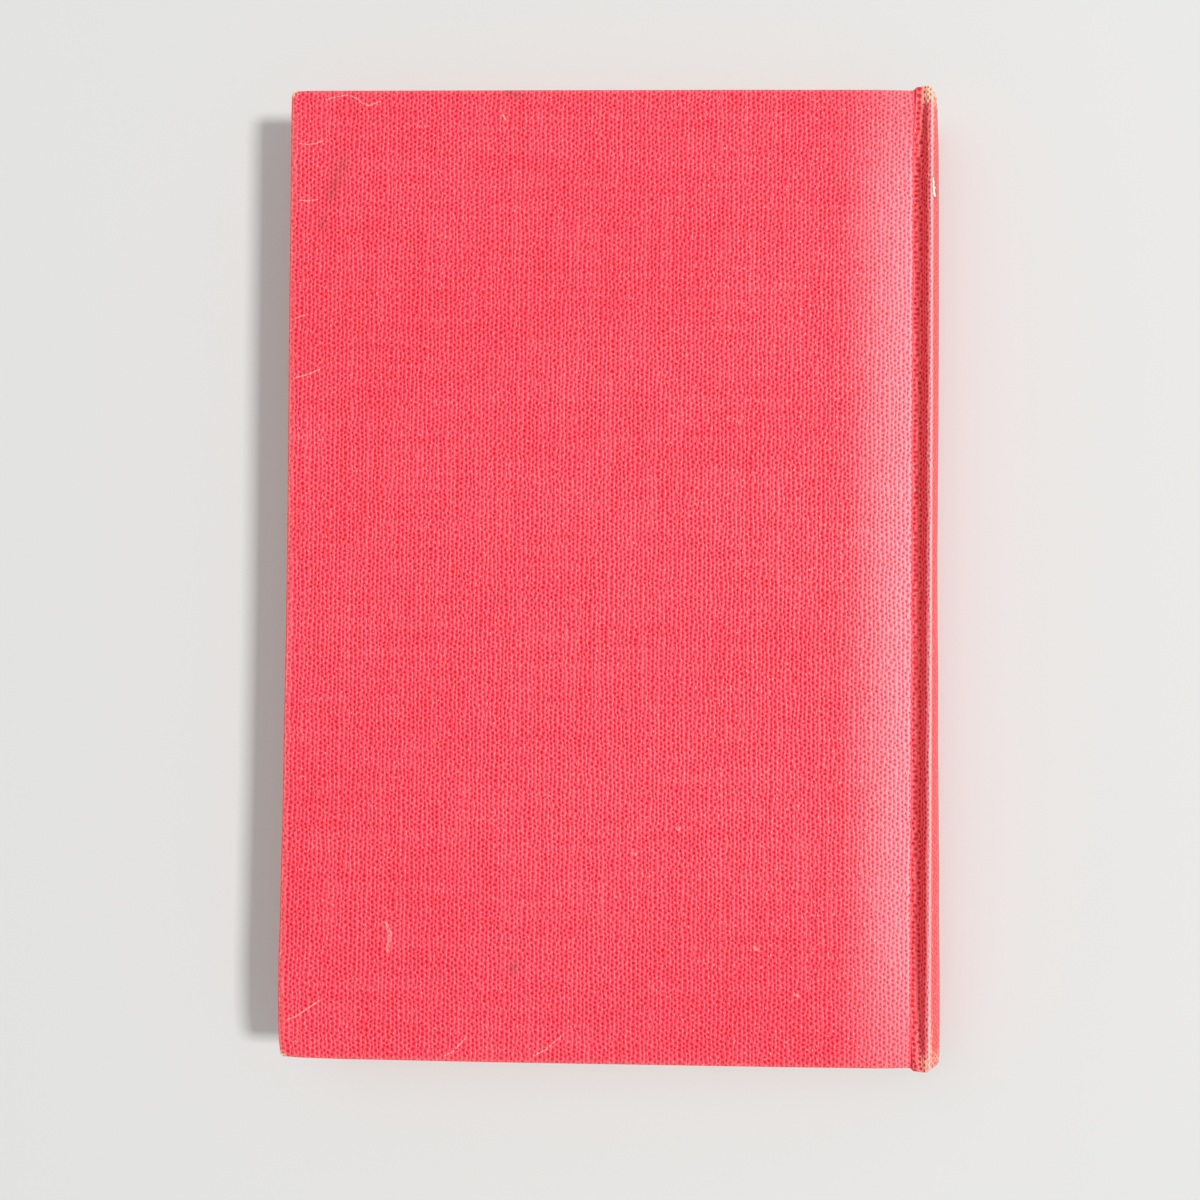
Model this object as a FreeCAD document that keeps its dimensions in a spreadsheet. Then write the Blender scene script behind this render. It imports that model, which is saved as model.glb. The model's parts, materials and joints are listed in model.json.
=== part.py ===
import FreeCAD, Part
import Sketcher
import math
import os

# A clothbound hardback book, closed, lying on its front cover.
# X runs from the fore-edge to the spine, Y from tail to head, Z up; the origin is at the middle of the
# underside. Every section is drawn in the XZ plane, with x counted from the covers' fore-edge and z from
# the outer face of the front cover, and is then padded evenly to both sides of the middle of the length.

document = FreeCAD.newDocument("Book")

SIZES = {
    # Boards and the cloth over them
    "board_height": 189.3,
    "board_width": 121.9,
    "board_thickness": 2.2,
    "board_corner_radius": 0.6,
    "board_edge_radius": 0.3,
    "joint_edge_radius": 0.8,
    "cloth_thickness": 0.35,
    "turn_in": 15,
    # Pages and endpapers
    "block_thickness": 7.6,
    "square": 3,
    "fore_edge_hollow": 1.4,
    "endpaper_thickness": 0.15,
    # Joint between board and spine
    "joint_width": 2.85,
    "groove_flat": 0.25,
    "ridge_drop": 0.1,
    "shoulder_radius": 0.45,
    # Spine
    "spine_reach": 3.55,
    "spine_overhang": 0.6,
    "inlay_thickness": 0.4,
    "hollow_clearance": 0.1,
    "lining_thickness": 0.1,
    "mull_thickness": 0.2,
    "mull_flange": 25,
    "mull_end_gap": 2,
    "band_diameter": 1.4,
    "band_end_gap": 0.6,
}

sizes = document.addObject("Spreadsheet::Sheet", "Sizes")
for row, (alias, value) in enumerate(SIZES.items(), start=1):
    sizes.set(f"A{row}", alias)
    sizes.set(f"B{row}", str(value))
    sizes.setAlias(f"B{row}", alias)
document.recompute()

# Values worked out from the sizes. "Depth" is counted inwards from the outer face of either cover.
DERIVED = {
    "cover_length": "Sizes.board_height + 2 * Sizes.cloth_thickness",
    "cover_width": "Sizes.board_width + 2 * Sizes.cloth_thickness",
    "board_inner": "Sizes.cloth_thickness + Sizes.board_thickness",
    "turn_in_inner": "board_inner + Sizes.cloth_thickness",
    "cover_depth": "turn_in_inner + Sizes.endpaper_thickness",
    "page_depth": "cover_depth + Sizes.endpaper_thickness",
    "book_height": "2 * page_depth + Sizes.block_thickness",
    "middle": "book_height / 2",
    "turn_in_edge": "Sizes.cloth_thickness + Sizes.turn_in",
    "opening_length": "Sizes.board_height - 2 * Sizes.turn_in",
    "page_length": "cover_length - 2 * Sizes.square",
    "mull_length": "opening_length - 2 * Sizes.mull_end_gap",
    "flange_edge": "cover_width - Sizes.mull_flange",
    "hollow_radius": "(Sizes.block_thickness ^ 2 / 4 + Sizes.fore_edge_hollow ^ 2)"
                     " / (2 * Sizes.fore_edge_hollow)",
    # The shoulder: a hollow foot arc and a rounded ridge arc that meet on one tangent
    "shoulder_layers": "Sizes.cloth_thickness + Sizes.mull_thickness + Sizes.endpaper_thickness",
    "groove_depth": "page_depth - shoulder_layers",
    "foot_x": "cover_width + Sizes.groove_flat",
    "ridge_x": "cover_width + Sizes.joint_width",
    "ridge_radius": "Sizes.shoulder_radius + shoulder_layers",
    "shoulder_run": "ridge_x - foot_x",
    "shoulder_rise": "groove_depth - Sizes.ridge_drop",
    "shoulder_sum": "(shoulder_run ^ 2 + shoulder_rise ^ 2) / (2 * shoulder_rise)",
    "foot_radius": "shoulder_sum - ridge_radius",
    "meeting_x": "shoulder_run / shoulder_sum",
    "meeting_z": "(shoulder_sum - shoulder_rise) / shoulder_sum",
    # The spine: one arc that is tangent to both ridges, with its layers inside it
    "book_width": "ridge_x + Sizes.spine_reach",
    "ridge_arm": "middle - Sizes.ridge_drop - ridge_radius",
    "spine_radius": "(Sizes.spine_reach ^ 2 + ridge_arm ^ 2 - ridge_radius ^ 2)"
                    " / (2 * (Sizes.spine_reach - ridge_radius))",
    "spine_centre": "book_width - spine_radius",
    "turn_x": "(spine_radius - Sizes.spine_reach) / (spine_radius - ridge_radius)",
    "turn_z": "ridge_arm / (spine_radius - ridge_radius)",
    "inlay_outer": "spine_radius - Sizes.cloth_thickness",
    "inlay_inner": "inlay_outer - Sizes.inlay_thickness",
    "tuck_inner": "inlay_inner - Sizes.cloth_thickness",
    "lining_outer": "tuck_inner - Sizes.hollow_clearance",
    "mull_outer": "lining_outer - Sizes.lining_thickness",
    "block_radius": "mull_outer - Sizes.mull_thickness",
    "inlay_length": "Sizes.board_height + 2 * Sizes.spine_overhang",
    "spine_length": "inlay_length + 2 * Sizes.cloth_thickness",
    "band_radius": "Sizes.band_diameter / 2",
    "band_arc": "block_radius - band_radius",
    "band_reach": "Sizes.block_thickness / 2 - Sizes.band_end_gap",
}

derived = document.addObject("App::VarSet", "Derived")
for name, formula in DERIVED.items():
    derived.addProperty("App::PropertyFloat", name, "Derived", "")
    derived.setExpression(name, formula)
document.recompute()


def number(expression):
    """The value of an expression now, for the first guess of a sketch."""
    value = derived.evalExpression(expression)
    return float(getattr(value, "Value", value))


# Sections

LINE = None


def arc(radius, side):
    """An arc of a section: its centre is left (+1) or right (-1) of the way along the outline."""
    return (radius, side)


def mirrored(points):
    """The same points above the middle of the book's thickness, in the opposite order."""
    return [(x, f"Derived.book_height - ({z})") for x, z in reversed(points)]


def whole_outline(points, edges, spine_edge, fore_edge):
    """A closed outline from its lower half, which runs from the fore-edge to the spine."""
    return points + mirrored(points), edges + [spine_edge] + edges[::-1] + [fore_edge]


def layer_outline(outer, outer_edges, outer_spine, inner, inner_edges, inner_spine):
    """A closed layer between an outer and an inner lower half, both running to the spine."""
    back_points = inner + mirrored(inner)
    back_edges = inner_edges + [inner_spine] + inner_edges[::-1]
    back_edges = [edge if edge is LINE else (edge[0], -edge[1]) for edge in reversed(back_edges)]
    points = outer + mirrored(outer) + back_points[::-1]
    edges = outer_edges + [outer_spine] + outer_edges[::-1] + [LINE] + back_edges + [LINE]
    return points, edges


def rectangle(left, bottom, right, top):
    return [(left, bottom), (right, bottom), (right, top), (left, top)], [LINE] * 4


def spine_point(radius):
    """Where an arc about the spine's centre ends, on the line through the front ridge's centre."""
    x = f"Derived.spine_centre + ({radius}) * Derived.turn_x"
    z = f"Derived.middle - ({radius}) * Derived.turn_z"
    return (x, z)


def shoulder(inset, start_x):
    """The lower shoulder, set in from the cloth's outer face, from the groove to the ridge's foot."""
    depth = f"Derived.groove_depth + {inset}"
    reach = f"(Derived.foot_radius + {inset})"
    meeting = (
        f"Derived.foot_x + {reach} * Derived.meeting_x",
        f"Derived.groove_depth - Derived.foot_radius + {reach} * Derived.meeting_z",
    )
    ridge = ("Derived.ridge_x", f"Sizes.ridge_drop + {inset}")
    points = [(start_x, depth), ("Derived.foot_x", depth), meeting, ridge]
    edges = [LINE, arc(reach, -1), arc(f"Derived.ridge_radius - {inset}", 1)]
    return points, edges


CLOTH_INSET = "Sizes.cloth_thickness"
MULL_INSET = "(Sizes.cloth_thickness + Sizes.mull_thickness)"
PAGE_INSET = "Derived.shoulder_layers"


# Sketches, pads and pockets

def arc_middle(start, end, radius, side):
    """A point halfway along the shorter arc from start to end."""
    chord_x = end[0] - start[0]
    chord_z = end[1] - start[1]
    chord = math.hypot(chord_x, chord_z)
    sagitta = radius - math.sqrt(max(radius ** 2 - chord ** 2 / 4, 0))
    x = (start[0] + end[0]) / 2 + side * chord_z / chord * sagitta
    z = (start[1] + end[1]) / 2 - side * chord_x / chord * sagitta
    return (x, z)


def vector(point):
    return FreeCAD.Vector(point[0], point[1], 0)


def add_section(body, name, outline, plane_role="XZ_Plane"):
    """A sketch whose corners and radii are bound to the sizes."""
    points, edges = outline
    sketch = body.newObject("Sketcher::SketchObject", name)
    plane = [item for item in body.Origin.OriginFeatures if item.Role == plane_role][0]
    sketch.AttachmentSupport = [(plane, "")]
    sketch.MapMode = "FlatFace"
    places = [(number(x), number(z)) for x, z in points]
    starts = []
    for index, edge in enumerate(edges):
        start = places[index]
        end = places[(index + 1) % len(places)]
        if edge is LINE:
            sketch.addGeometry(Part.LineSegment(vector(start), vector(end)))
        else:
            middle = arc_middle(start, end, number(edge[0]), edge[1])
            sketch.addGeometry(Part.Arc(vector(start), vector(middle), vector(end)))
        first = sketch.getPoint(index, 1)
        starts.append(1 if (first - vector(start)).Length < (first - vector(end)).Length else 2)
    for index, (edge, corner) in enumerate(zip(edges, points)):
        before = index - 1 if index else len(edges) - 1
        sketch.addConstraint(
            Sketcher.Constraint("Coincident", before, 3 - starts[before], index, starts[index]))
        for kind, axis, expression, value in zip(
                ("DistanceX", "DistanceY"), (-2, -1), corner, places[index]):
            if expression == "0":
                sketch.addConstraint(Sketcher.Constraint("PointOnObject", index, starts[index], axis))
                continue
            constraint = sketch.addConstraint(
                Sketcher.Constraint(kind, -1, 1, index, starts[index], value))
            sketch.setExpression(f"Constraints[{constraint}]", expression)
        if edge is not LINE:
            constraint = sketch.addConstraint(Sketcher.Constraint("Radius", index, number(edge[0])))
            sketch.setExpression(f"Constraints[{constraint}]", edge[0])
    return sketch


def add_feature(body, kind, name, outline, length):
    """A pad or a pocket of the section, even to both sides of the middle of the book's length."""
    sketch = add_section(body, f"{name}_section", outline)
    feature = body.newObject(f"PartDesign::{kind}", name)
    feature.Profile = sketch
    feature.SideType = "Symmetric"
    feature.setExpression("Length", length)
    document.recompute()
    return feature


def add_fillet(body, name, radius, chosen):
    """A fillet on the edges of the body's tip that the test accepts."""
    tip = body.Tip
    names = [f"Edge{index}" for index, edge in enumerate(tip.Shape.Edges, start=1) if chosen(edge)]
    fillet = body.newObject("PartDesign::Fillet", name)
    fillet.Base = (tip, names)
    fillet.setExpression("Radius", radius)
    document.recompute()
    return fillet


def new_body(name, back=False):
    """A body in the book's frame; one of the back cover is turned over onto the top."""
    body = document.addObject("PartDesign::Body", name)
    if back:
        body.Placement.Rotation = FreeCAD.Rotation(FreeCAD.Vector(1, 0, 0), 180)
        body.setExpression("Placement.Base.z", "Derived.book_height")
    body.setExpression("Placement.Base.x", "-Derived.book_width / 2")
    return body


# Covers: each is drawn as the front one, with its outer face down

def is_fore_edge_corner(edge):
    box = edge.BoundBox
    return box.XLength < 0.001 and box.YLength < 0.001 and box.XMin < number("Sizes.turn_in")


def is_face_outline(edge):
    """An edge round the outer or the inner face, but not the ones that face the spine."""
    box = edge.BoundBox
    faces_spine = box.YLength > number("Derived.opening_length") and box.XMin > number("Sizes.turn_in")
    return box.ZLength < 0.001 and not faces_spine


def joint_rounded_outline(left, bottom, right, top, radius):
    """A board's section, with the outer edge beside the groove rounded."""
    points = [
        (left, bottom),
        (f"{right} - {radius}", bottom),
        (right, f"{bottom} + {radius}"),
        (right, top),
        (left, top),
    ]
    return points, [LINE, arc(radius, 1), LINE, LINE, LINE]


def make_board(side, back):
    """Greyboard, with its corners and edges slightly rounded."""
    body = new_body(f"{side}_board", back)
    outline = joint_rounded_outline(
        "Sizes.cloth_thickness", "Sizes.cloth_thickness",
        "(Sizes.cloth_thickness + Sizes.board_width)", "Derived.board_inner",
        "Sizes.joint_edge_radius")
    add_feature(body, "Pad", f"{side}_board_slab", outline, "Sizes.board_height")
    add_fillet(body, f"{side}_board_corners", "Sizes.board_corner_radius", is_fore_edge_corner)
    add_fillet(body, f"{side}_board_edges", "Sizes.board_edge_radius", is_face_outline)
    return body


def make_cover_cloth(side, back, board):
    """Book cloth round a board, turned in over the fore-edge, head and tail."""
    blank = new_body(f"{side}_cloth_blank", back)
    outline = joint_rounded_outline(
        "0", "0", "Derived.cover_width", "Derived.turn_in_inner",
        "(Sizes.joint_edge_radius + Sizes.cloth_thickness)")
    add_feature(blank, "Pad", f"{side}_cloth_wrap", outline, "Derived.cover_length")
    add_fillet(blank, f"{side}_cloth_corners",
               "Sizes.board_corner_radius + Sizes.cloth_thickness", is_fore_edge_corner)
    add_fillet(blank, f"{side}_cloth_edges",
               "Sizes.board_edge_radius + Sizes.cloth_thickness", is_face_outline)
    opening = rectangle(
        "Derived.turn_in_edge", "Derived.board_inner",
        "Derived.cover_width + Sizes.cloth_thickness",
        "Derived.turn_in_inner + Sizes.cloth_thickness")
    add_feature(blank, "Pocket", f"{side}_cloth_opening", opening, "Derived.opening_length")
    cloth = document.addObject("Part::Cut", f"{side}_cover_cloth")
    cloth.Base = blank
    cloth.Tool = board
    return cloth


def make_mull_flange(side, back):
    """The edge of the spine's gauze, glued to the inside of the board."""
    body = new_body(f"{side}_mull_flange", back)
    outline = rectangle(
        "Derived.flange_edge", "Derived.board_inner", "Derived.cover_width",
        "Derived.board_inner + Sizes.mull_thickness")
    add_feature(body, "Pad", f"{side}_mull_flange_strip", outline, "Derived.mull_length")
    return body


def make_pastedown(side, back):
    """The glued endpaper: raised over the turn-ins and the gauze, sunken over the bare board."""
    body = new_body(f"{side}_pastedown", back)
    rim = rectangle("Sizes.square", "Derived.turn_in_inner", "Derived.cover_width", "Derived.cover_depth")
    add_feature(body, "Pad", f"{side}_pastedown_rim", rim, "Derived.page_length")
    tray = rectangle(
        "Derived.turn_in_edge", "Derived.board_inner", "Derived.cover_width", "Derived.cover_depth")
    add_feature(body, "Pad", f"{side}_pastedown_tray", tray, "Derived.opening_length")
    sunken_length = "Derived.opening_length - 2 * Sizes.endpaper_thickness"
    sunken = rectangle(
        "Derived.turn_in_edge + Sizes.endpaper_thickness",
        "Derived.board_inner + Sizes.endpaper_thickness",
        "Derived.flange_edge - Sizes.endpaper_thickness",
        "Derived.cover_depth + Sizes.endpaper_thickness")
    add_feature(body, "Pocket", f"{side}_pastedown_sunken", sunken, sunken_length)
    over_gauze = rectangle(
        "Derived.flange_edge - 2 * Sizes.endpaper_thickness",
        "Derived.board_inner + Sizes.mull_thickness + Sizes.endpaper_thickness",
        "Derived.cover_width + Sizes.endpaper_thickness",
        "Derived.cover_depth + Sizes.endpaper_thickness")
    add_feature(body, "Pocket", f"{side}_pastedown_over_gauze", over_gauze, sunken_length)
    under_gauze = rectangle(
        "Derived.flange_edge", "Derived.board_inner - Sizes.mull_thickness",
        "Derived.cover_width + Sizes.endpaper_thickness", "Derived.board_inner + Sizes.mull_thickness")
    add_feature(body, "Pocket", f"{side}_pastedown_under_gauze", under_gauze, "Derived.mull_length")
    return body


def make_flyleaf(side, back):
    """The free half of the endpaper, running up the shoulder to its fold at the ridge."""
    body = new_body(f"{side}_flyleaf", back)
    outer, edges = shoulder(MULL_INSET, "Sizes.square")
    inner, inner_edges = shoulder(PAGE_INSET, "Sizes.square")
    inner_edges = [edge if edge is LINE else (edge[0], -edge[1]) for edge in reversed(inner_edges)]
    outline = (outer + inner[::-1], edges + [LINE] + inner_edges + [LINE])
    add_feature(body, "Pad", f"{side}_flyleaf_sheet", outline, "Derived.page_length")
    return body


# Block and spine

def make_text_block():
    """The sewn pages, rounded and backed: hollow fore-edge, round spine, flared shoulders."""
    body = new_body("text_block")
    points, edges = shoulder(PAGE_INSET, "Sizes.square")
    outline = whole_outline(
        points + [spine_point("Derived.block_radius")], edges + [LINE],
        arc("Derived.block_radius", 1), arc("Derived.hollow_radius", -1))
    add_feature(body, "Pad", "pages", outline, "Derived.page_length")
    return body


def make_spine_mull():
    """Open gauze over the backs of the sections and both shoulders."""
    body = new_body("spine_mull")
    outer, outer_edges = shoulder(CLOTH_INSET, "Derived.cover_width")
    inner, inner_edges = shoulder(MULL_INSET, "Derived.cover_width")
    outer += [spine_point("Derived.inlay_outer"), spine_point("Derived.mull_outer")]
    outer_edges += [arc(f"Derived.ridge_radius - {CLOTH_INSET}", 1), LINE]
    page_ridge = ("Derived.ridge_x", f"Sizes.ridge_drop + {PAGE_INSET}")
    inner += [page_ridge, spine_point("Derived.block_radius")]
    inner_edges += [LINE, LINE]
    outline = layer_outline(
        outer, outer_edges, arc("Derived.mull_outer", 1),
        inner, inner_edges, arc("Derived.block_radius", 1))
    add_feature(body, "Pad", "mull_sheet", outline, "Derived.mull_length")
    return body


def spine_layer(outer_radius, inner_radius):
    return layer_outline(
        [spine_point(outer_radius)], [], arc(outer_radius, 1),
        [spine_point(inner_radius)], [], arc(inner_radius, 1))


def make_spine_lining():
    """Paper glued over the gauze between the shoulders."""
    body = new_body("spine_lining_paper")
    outline = spine_layer("Derived.lining_outer", "Derived.mull_outer")
    add_feature(body, "Pad", "lining_sheet", outline, "Derived.page_length")
    return body


def make_spine_inlay():
    """The strip of thin card that stiffens the spine of the case."""
    body = new_body("spine_inlay")
    outline = spine_layer("Derived.inlay_outer", "Derived.inlay_inner")
    add_feature(body, "Pad", "inlay_strip", outline, "Derived.inlay_length")
    return body


def make_spine_cloth():
    """Book cloth from groove to groove, folded in over both ends of the inlay."""
    body = new_body("spine_cloth")
    outer, outer_edges = shoulder("0", "Derived.cover_width")
    inner, inner_edges = shoulder(CLOTH_INSET, "Derived.cover_width")
    ridge = arc("Derived.ridge_radius", 1)
    inner_ridge = arc(f"Derived.ridge_radius - {CLOTH_INSET}", 1)
    outline = layer_outline(
        outer + [spine_point("Derived.spine_radius")], outer_edges + [ridge],
        arc("Derived.spine_radius", 1),
        inner + [spine_point("Derived.inlay_outer")], inner_edges + [inner_ridge],
        arc("Derived.inlay_outer", 1))
    add_feature(body, "Pad", "spine_wrap", outline, "Derived.spine_length")
    add_feature(body, "Pad", "spine_tuck", spine_layer("Derived.inlay_outer", "Derived.tuck_inner"),
                "Derived.spine_length")
    add_feature(body, "Pocket", "inlay_slot", spine_layer("Derived.inlay_outer", "Derived.inlay_inner"),
                "Derived.inlay_length")
    add_feature(body, "Pocket", "hollow_slot", spine_layer("Derived.inlay_inner", "Derived.tuck_inner"),
                "Derived.inlay_length - 2 * Sizes.turn_in")
    return body


def make_band(name, end):
    """A worked band at the head (+1) or tail (-1), standing on the ends of the pages at the spine."""
    body = document.addObject("PartDesign::Body", name)
    body.setExpression("Placement.Base.x", "Derived.spine_centre - Derived.book_width / 2")
    body.setExpression("Placement.Base.y", f"{end} * (Derived.page_length + Sizes.band_diameter) / 2")
    body.setExpression("Placement.Base.z", "Derived.middle")
    sketch = body.newObject("Sketcher::SketchObject", f"{name}_section")
    plane = [item for item in body.Origin.OriginFeatures if item.Role == "XY_Plane"][0]
    sketch.AttachmentSupport = [(plane, "")]
    sketch.MapMode = "FlatFace"
    centre = FreeCAD.Vector(number("Derived.band_arc"), 0, 0)
    circle = Part.Circle(centre, FreeCAD.Vector(0, 0, 1), number("Derived.band_radius"))
    sketch.addGeometry(circle)
    sketch.addConstraint(Sketcher.Constraint("PointOnObject", 0, 3, -1))
    place = sketch.addConstraint(Sketcher.Constraint("DistanceX", -1, 1, 0, 3, centre.x))
    sketch.setExpression(f"Constraints[{place}]", "Derived.band_arc")
    radius = sketch.addConstraint(Sketcher.Constraint("Radius", 0, number("Derived.band_radius")))
    sketch.setExpression(f"Constraints[{radius}]", "Derived.band_radius")
    turn = body.newObject("PartDesign::Revolution", f"{name}_bead")
    turn.Profile = sketch
    axis = [item for item in body.Origin.OriginFeatures if item.Role == "Y_Axis"][0]
    turn.ReferenceAxis = (axis, [""])
    turn.Midplane = True
    turn.setExpression("Angle", "2 * asin(Derived.band_reach / Derived.band_arc)")
    return body


parts = [
    make_text_block(),
    make_spine_mull(),
    make_spine_lining(),
    make_spine_inlay(),
    make_spine_cloth(),
    make_band("head_band", 1),
    make_band("tail_band", -1),
]
for side, back in (("front", False), ("back", True)):
    board = make_board(side, back)
    parts += [
        board,
        make_cover_cloth(side, back, board),
        make_mull_flange(side, back),
        make_pastedown(side, back),
        make_flyleaf(side, back),
    ]
document.recompute()

# Check every object, then write one file for each sub-part

for item in document.Objects:
    if "Invalid" in item.State or "Error" in item.State:
        raise RuntimeError(f"{item.Name} failed: {item.State}")
for part in parts:
    if part.Shape.isNull() or not part.Shape.isValid() or len(part.Shape.Solids) != 1:
        raise RuntimeError(f"{part.Label} has no single valid solid")
os.makedirs("parts", exist_ok=True)
for part in parts:
    part.Shape.exportStep(f"parts/{part.Label}.step")
    box = part.Shape.BoundBox
    print(f"{part.Label}: {part.Shape.Volume:.1f} mm3,"
          f" x {box.XMin:.2f} to {box.XMax:.2f}, y {box.YMin:.2f} to {box.YMax:.2f},"
          f" z {box.ZMin:.2f} to {box.ZMax:.2f}")
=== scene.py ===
import json
import math
import random

import bmesh
import bpy
import numpy as np
from mathutils import Euler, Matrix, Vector, noise


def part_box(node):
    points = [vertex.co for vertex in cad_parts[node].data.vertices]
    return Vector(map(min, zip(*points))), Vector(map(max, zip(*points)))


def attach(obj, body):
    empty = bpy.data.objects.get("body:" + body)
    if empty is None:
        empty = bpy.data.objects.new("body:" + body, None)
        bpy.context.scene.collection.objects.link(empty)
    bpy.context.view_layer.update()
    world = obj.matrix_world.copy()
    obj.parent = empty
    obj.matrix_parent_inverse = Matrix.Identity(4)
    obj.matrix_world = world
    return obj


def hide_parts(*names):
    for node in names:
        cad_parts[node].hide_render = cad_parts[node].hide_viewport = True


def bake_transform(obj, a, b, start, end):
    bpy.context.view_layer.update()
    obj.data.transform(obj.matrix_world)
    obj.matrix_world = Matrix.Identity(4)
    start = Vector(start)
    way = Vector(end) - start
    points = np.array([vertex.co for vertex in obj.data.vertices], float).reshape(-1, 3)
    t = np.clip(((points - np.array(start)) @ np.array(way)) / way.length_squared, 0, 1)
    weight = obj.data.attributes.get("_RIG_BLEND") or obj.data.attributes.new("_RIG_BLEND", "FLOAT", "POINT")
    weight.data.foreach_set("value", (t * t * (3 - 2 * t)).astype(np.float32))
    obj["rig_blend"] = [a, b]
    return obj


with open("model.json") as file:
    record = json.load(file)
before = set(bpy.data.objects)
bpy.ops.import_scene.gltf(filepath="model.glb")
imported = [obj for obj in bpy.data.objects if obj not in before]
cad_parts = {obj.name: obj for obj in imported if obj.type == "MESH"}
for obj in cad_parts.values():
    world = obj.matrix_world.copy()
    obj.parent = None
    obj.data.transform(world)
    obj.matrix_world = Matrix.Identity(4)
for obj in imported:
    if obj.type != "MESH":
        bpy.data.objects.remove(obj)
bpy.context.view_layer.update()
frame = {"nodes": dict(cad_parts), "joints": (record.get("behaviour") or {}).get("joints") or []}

# A clothbound hardback book, lying on its front cover. Lengths are in millimetres in the frame's axes
# until a mesh is made. "Depth" is counted inwards from the outer face of either cover.

MM = 0.001


def box_mm(node):
    low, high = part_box(node)
    return low / MM, high / MM


# Sizes from the frame

cover_low, cover_high = box_mm("back_cover_cloth")
spine_low, spine_high = box_mm("spine_cloth")
block_low, block_high = box_mm("text_block")
flange_low, flange_high = box_mm("back_mull_flange")
board_low, board_high = box_mm("back_board")
band_low, band_high = box_mm("head_band")
leaf_low, leaf_high = box_mm("back_flyleaf")
hinge = frame["joints"][0]["pos_m"]

FORE_X = cover_low.x
JOINT_X = cover_high.x
SPINE_X = spine_high.x
COVER_HALF = cover_high.y
SPINE_HALF = spine_high.y
BOOK_HEIGHT = cover_high.z
MIDDLE = BOOK_HEIGHT / 2
PAGE_FORE_X = block_low.x
PAGE_HALF = block_high.y
RIDGE_X = hinge[0] / MM
FLANGE_X = flange_low.x
MULL_HALF = flange_high.y
PAGE_TOP = leaf_low.z

# Sizes of the layers and the joint

CLOTH = 0.35
BOARD = 2.2
ENDPAPER = 0.15
MULL = 0.2
TURN_IN = 15
CORNER_RADIUS = 0.95
EDGE_RADIUS = 0.65
JOINT_RADIUS = 1.15
GROOVE_CORNER = 0.4
RIDGE_DROP = 0.1
RIDGE_RADIUS = 1.15
GROOVE_FLAT = 0.25
SPINE_FOLD = 1.1
GROOVE_FOLD = 0.55
BOARD_FOLD = BOARD + 2 * CLOTH
COVER_DEPTH = BOARD_FOLD + ENDPAPER
PAGE_DEPTH = COVER_DEPTH + ENDPAPER
GROOVE_DEPTH = PAGE_DEPTH - CLOTH - MULL - ENDPAPER

FOOT_X = JOINT_X + GROOVE_FLAT
SHOULDER_RUN = RIDGE_X - FOOT_X
SHOULDER_RISE = GROOVE_DEPTH - RIDGE_DROP
SHOULDER_SUM = (SHOULDER_RUN ** 2 + SHOULDER_RISE ** 2) / (2 * SHOULDER_RISE)
FOOT_RADIUS = SHOULDER_SUM - RIDGE_RADIUS
FOOT_CENTRE = (FOOT_X, GROOVE_DEPTH - FOOT_RADIUS)
RIDGE_CENTRE = (RIDGE_X, RIDGE_DROP + RIDGE_RADIUS)
MEETING = math.atan2(SHOULDER_SUM - SHOULDER_RISE, SHOULDER_RUN)

SPINE_REACH = SPINE_X - RIDGE_X
RIDGE_ARM = MIDDLE - RIDGE_CENTRE[1]
SPINE_RADIUS = (SPINE_REACH ** 2 + RIDGE_ARM ** 2 - RIDGE_RADIUS ** 2) / (2 * (SPINE_REACH - RIDGE_RADIUS))
SPINE_CENTRE = (SPINE_X - SPINE_RADIUS, MIDDLE)
SPINE_TURN = math.atan2(RIDGE_ARM, SPINE_RADIUS - SPINE_REACH)
BLOCK_RADIUS = block_high.x - SPINE_CENTRE[0]
BRIDGE = 0.15
SHOULDER_PUSH = 0.42


# Small helpers

def smooth(low, high, value):
    """0 below low, 1 above high, and an even ease between them."""
    t = min(1.0, max(0.0, (value - low) / (high - low)))
    return t * t * (3 - 2 * t)


def mix(a, b, share):
    return a + (b - a) * share


def spread(low, high, count):
    """count + 1 evenly spaced values from low to high."""
    return [mix(low, high, index / count) for index in range(count + 1)]


def rough(x, y, z, size):
    """Even noise between -1 and 1 with features of about the given size."""
    return noise.noise(Vector((x, y, z)) / size)


# The shape that wear has given the covers and the spine

# (place along the book, shift outwards), in millimetres, from tail to head
FORE_SWAY = ((-95, 0.1), (-88, 0.45), (-80, 0.6), (-66, 0.35), (-40, 0.1), (0, -0.1), (60, 0.1), (95, 0.15))
SPINE_SWAY = ((-96, 0.2), (-88, 0.35), (-60, 0.15), (-33, -0.12), (5, -0.38), (40, -0.25), (72, -0.3),
              (84, -0.38), (90, -0.6), (96, -1.0))
# (place across the book, shift outwards)
HEAD_SWAY = ((-64, 0.15), (-20, 0.15), (20, 0.12), (50, 0.05), (58, 0.0))
TAIL_SWAY = ((-64, 0.0), (-50, 0.2), (-20, 0.3), (30, 0.28), (50, 0.22), (58, 0.2))

# (corner along the book, how far it is bent towards the pages, how far the bend reaches)
BENT_CORNERS = {
    "back": ((COVER_HALF, 0.25, 4.2), (-COVER_HALF, 0.5, 4.2)),
    "front": ((COVER_HALF, 0.15, 4.2), (-COVER_HALF, 0.2, 4.2)),
}
JOINT_DROOP = 0.3
END_LIFT = 0.9


def pushed_back(x):
    """The pressed shoulder leans a little towards the spine."""
    share = smooth(JOINT_X + 0.2, JOINT_X + 1.3, x) * (1 - smooth(RIDGE_X - 0.5, RIDGE_X + 1.2, x))
    return x + SHOULDER_PUSH * share


def sway(curve, place_along):
    """Reads a curve of (place, shift) pairs, easing from one to the next."""
    for (before, first), (after, second) in zip(curve, curve[1:]):
        if place_along <= after:
            return mix(first, second, smooth(before, after, place_along))
    return curve[-1][1]


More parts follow.
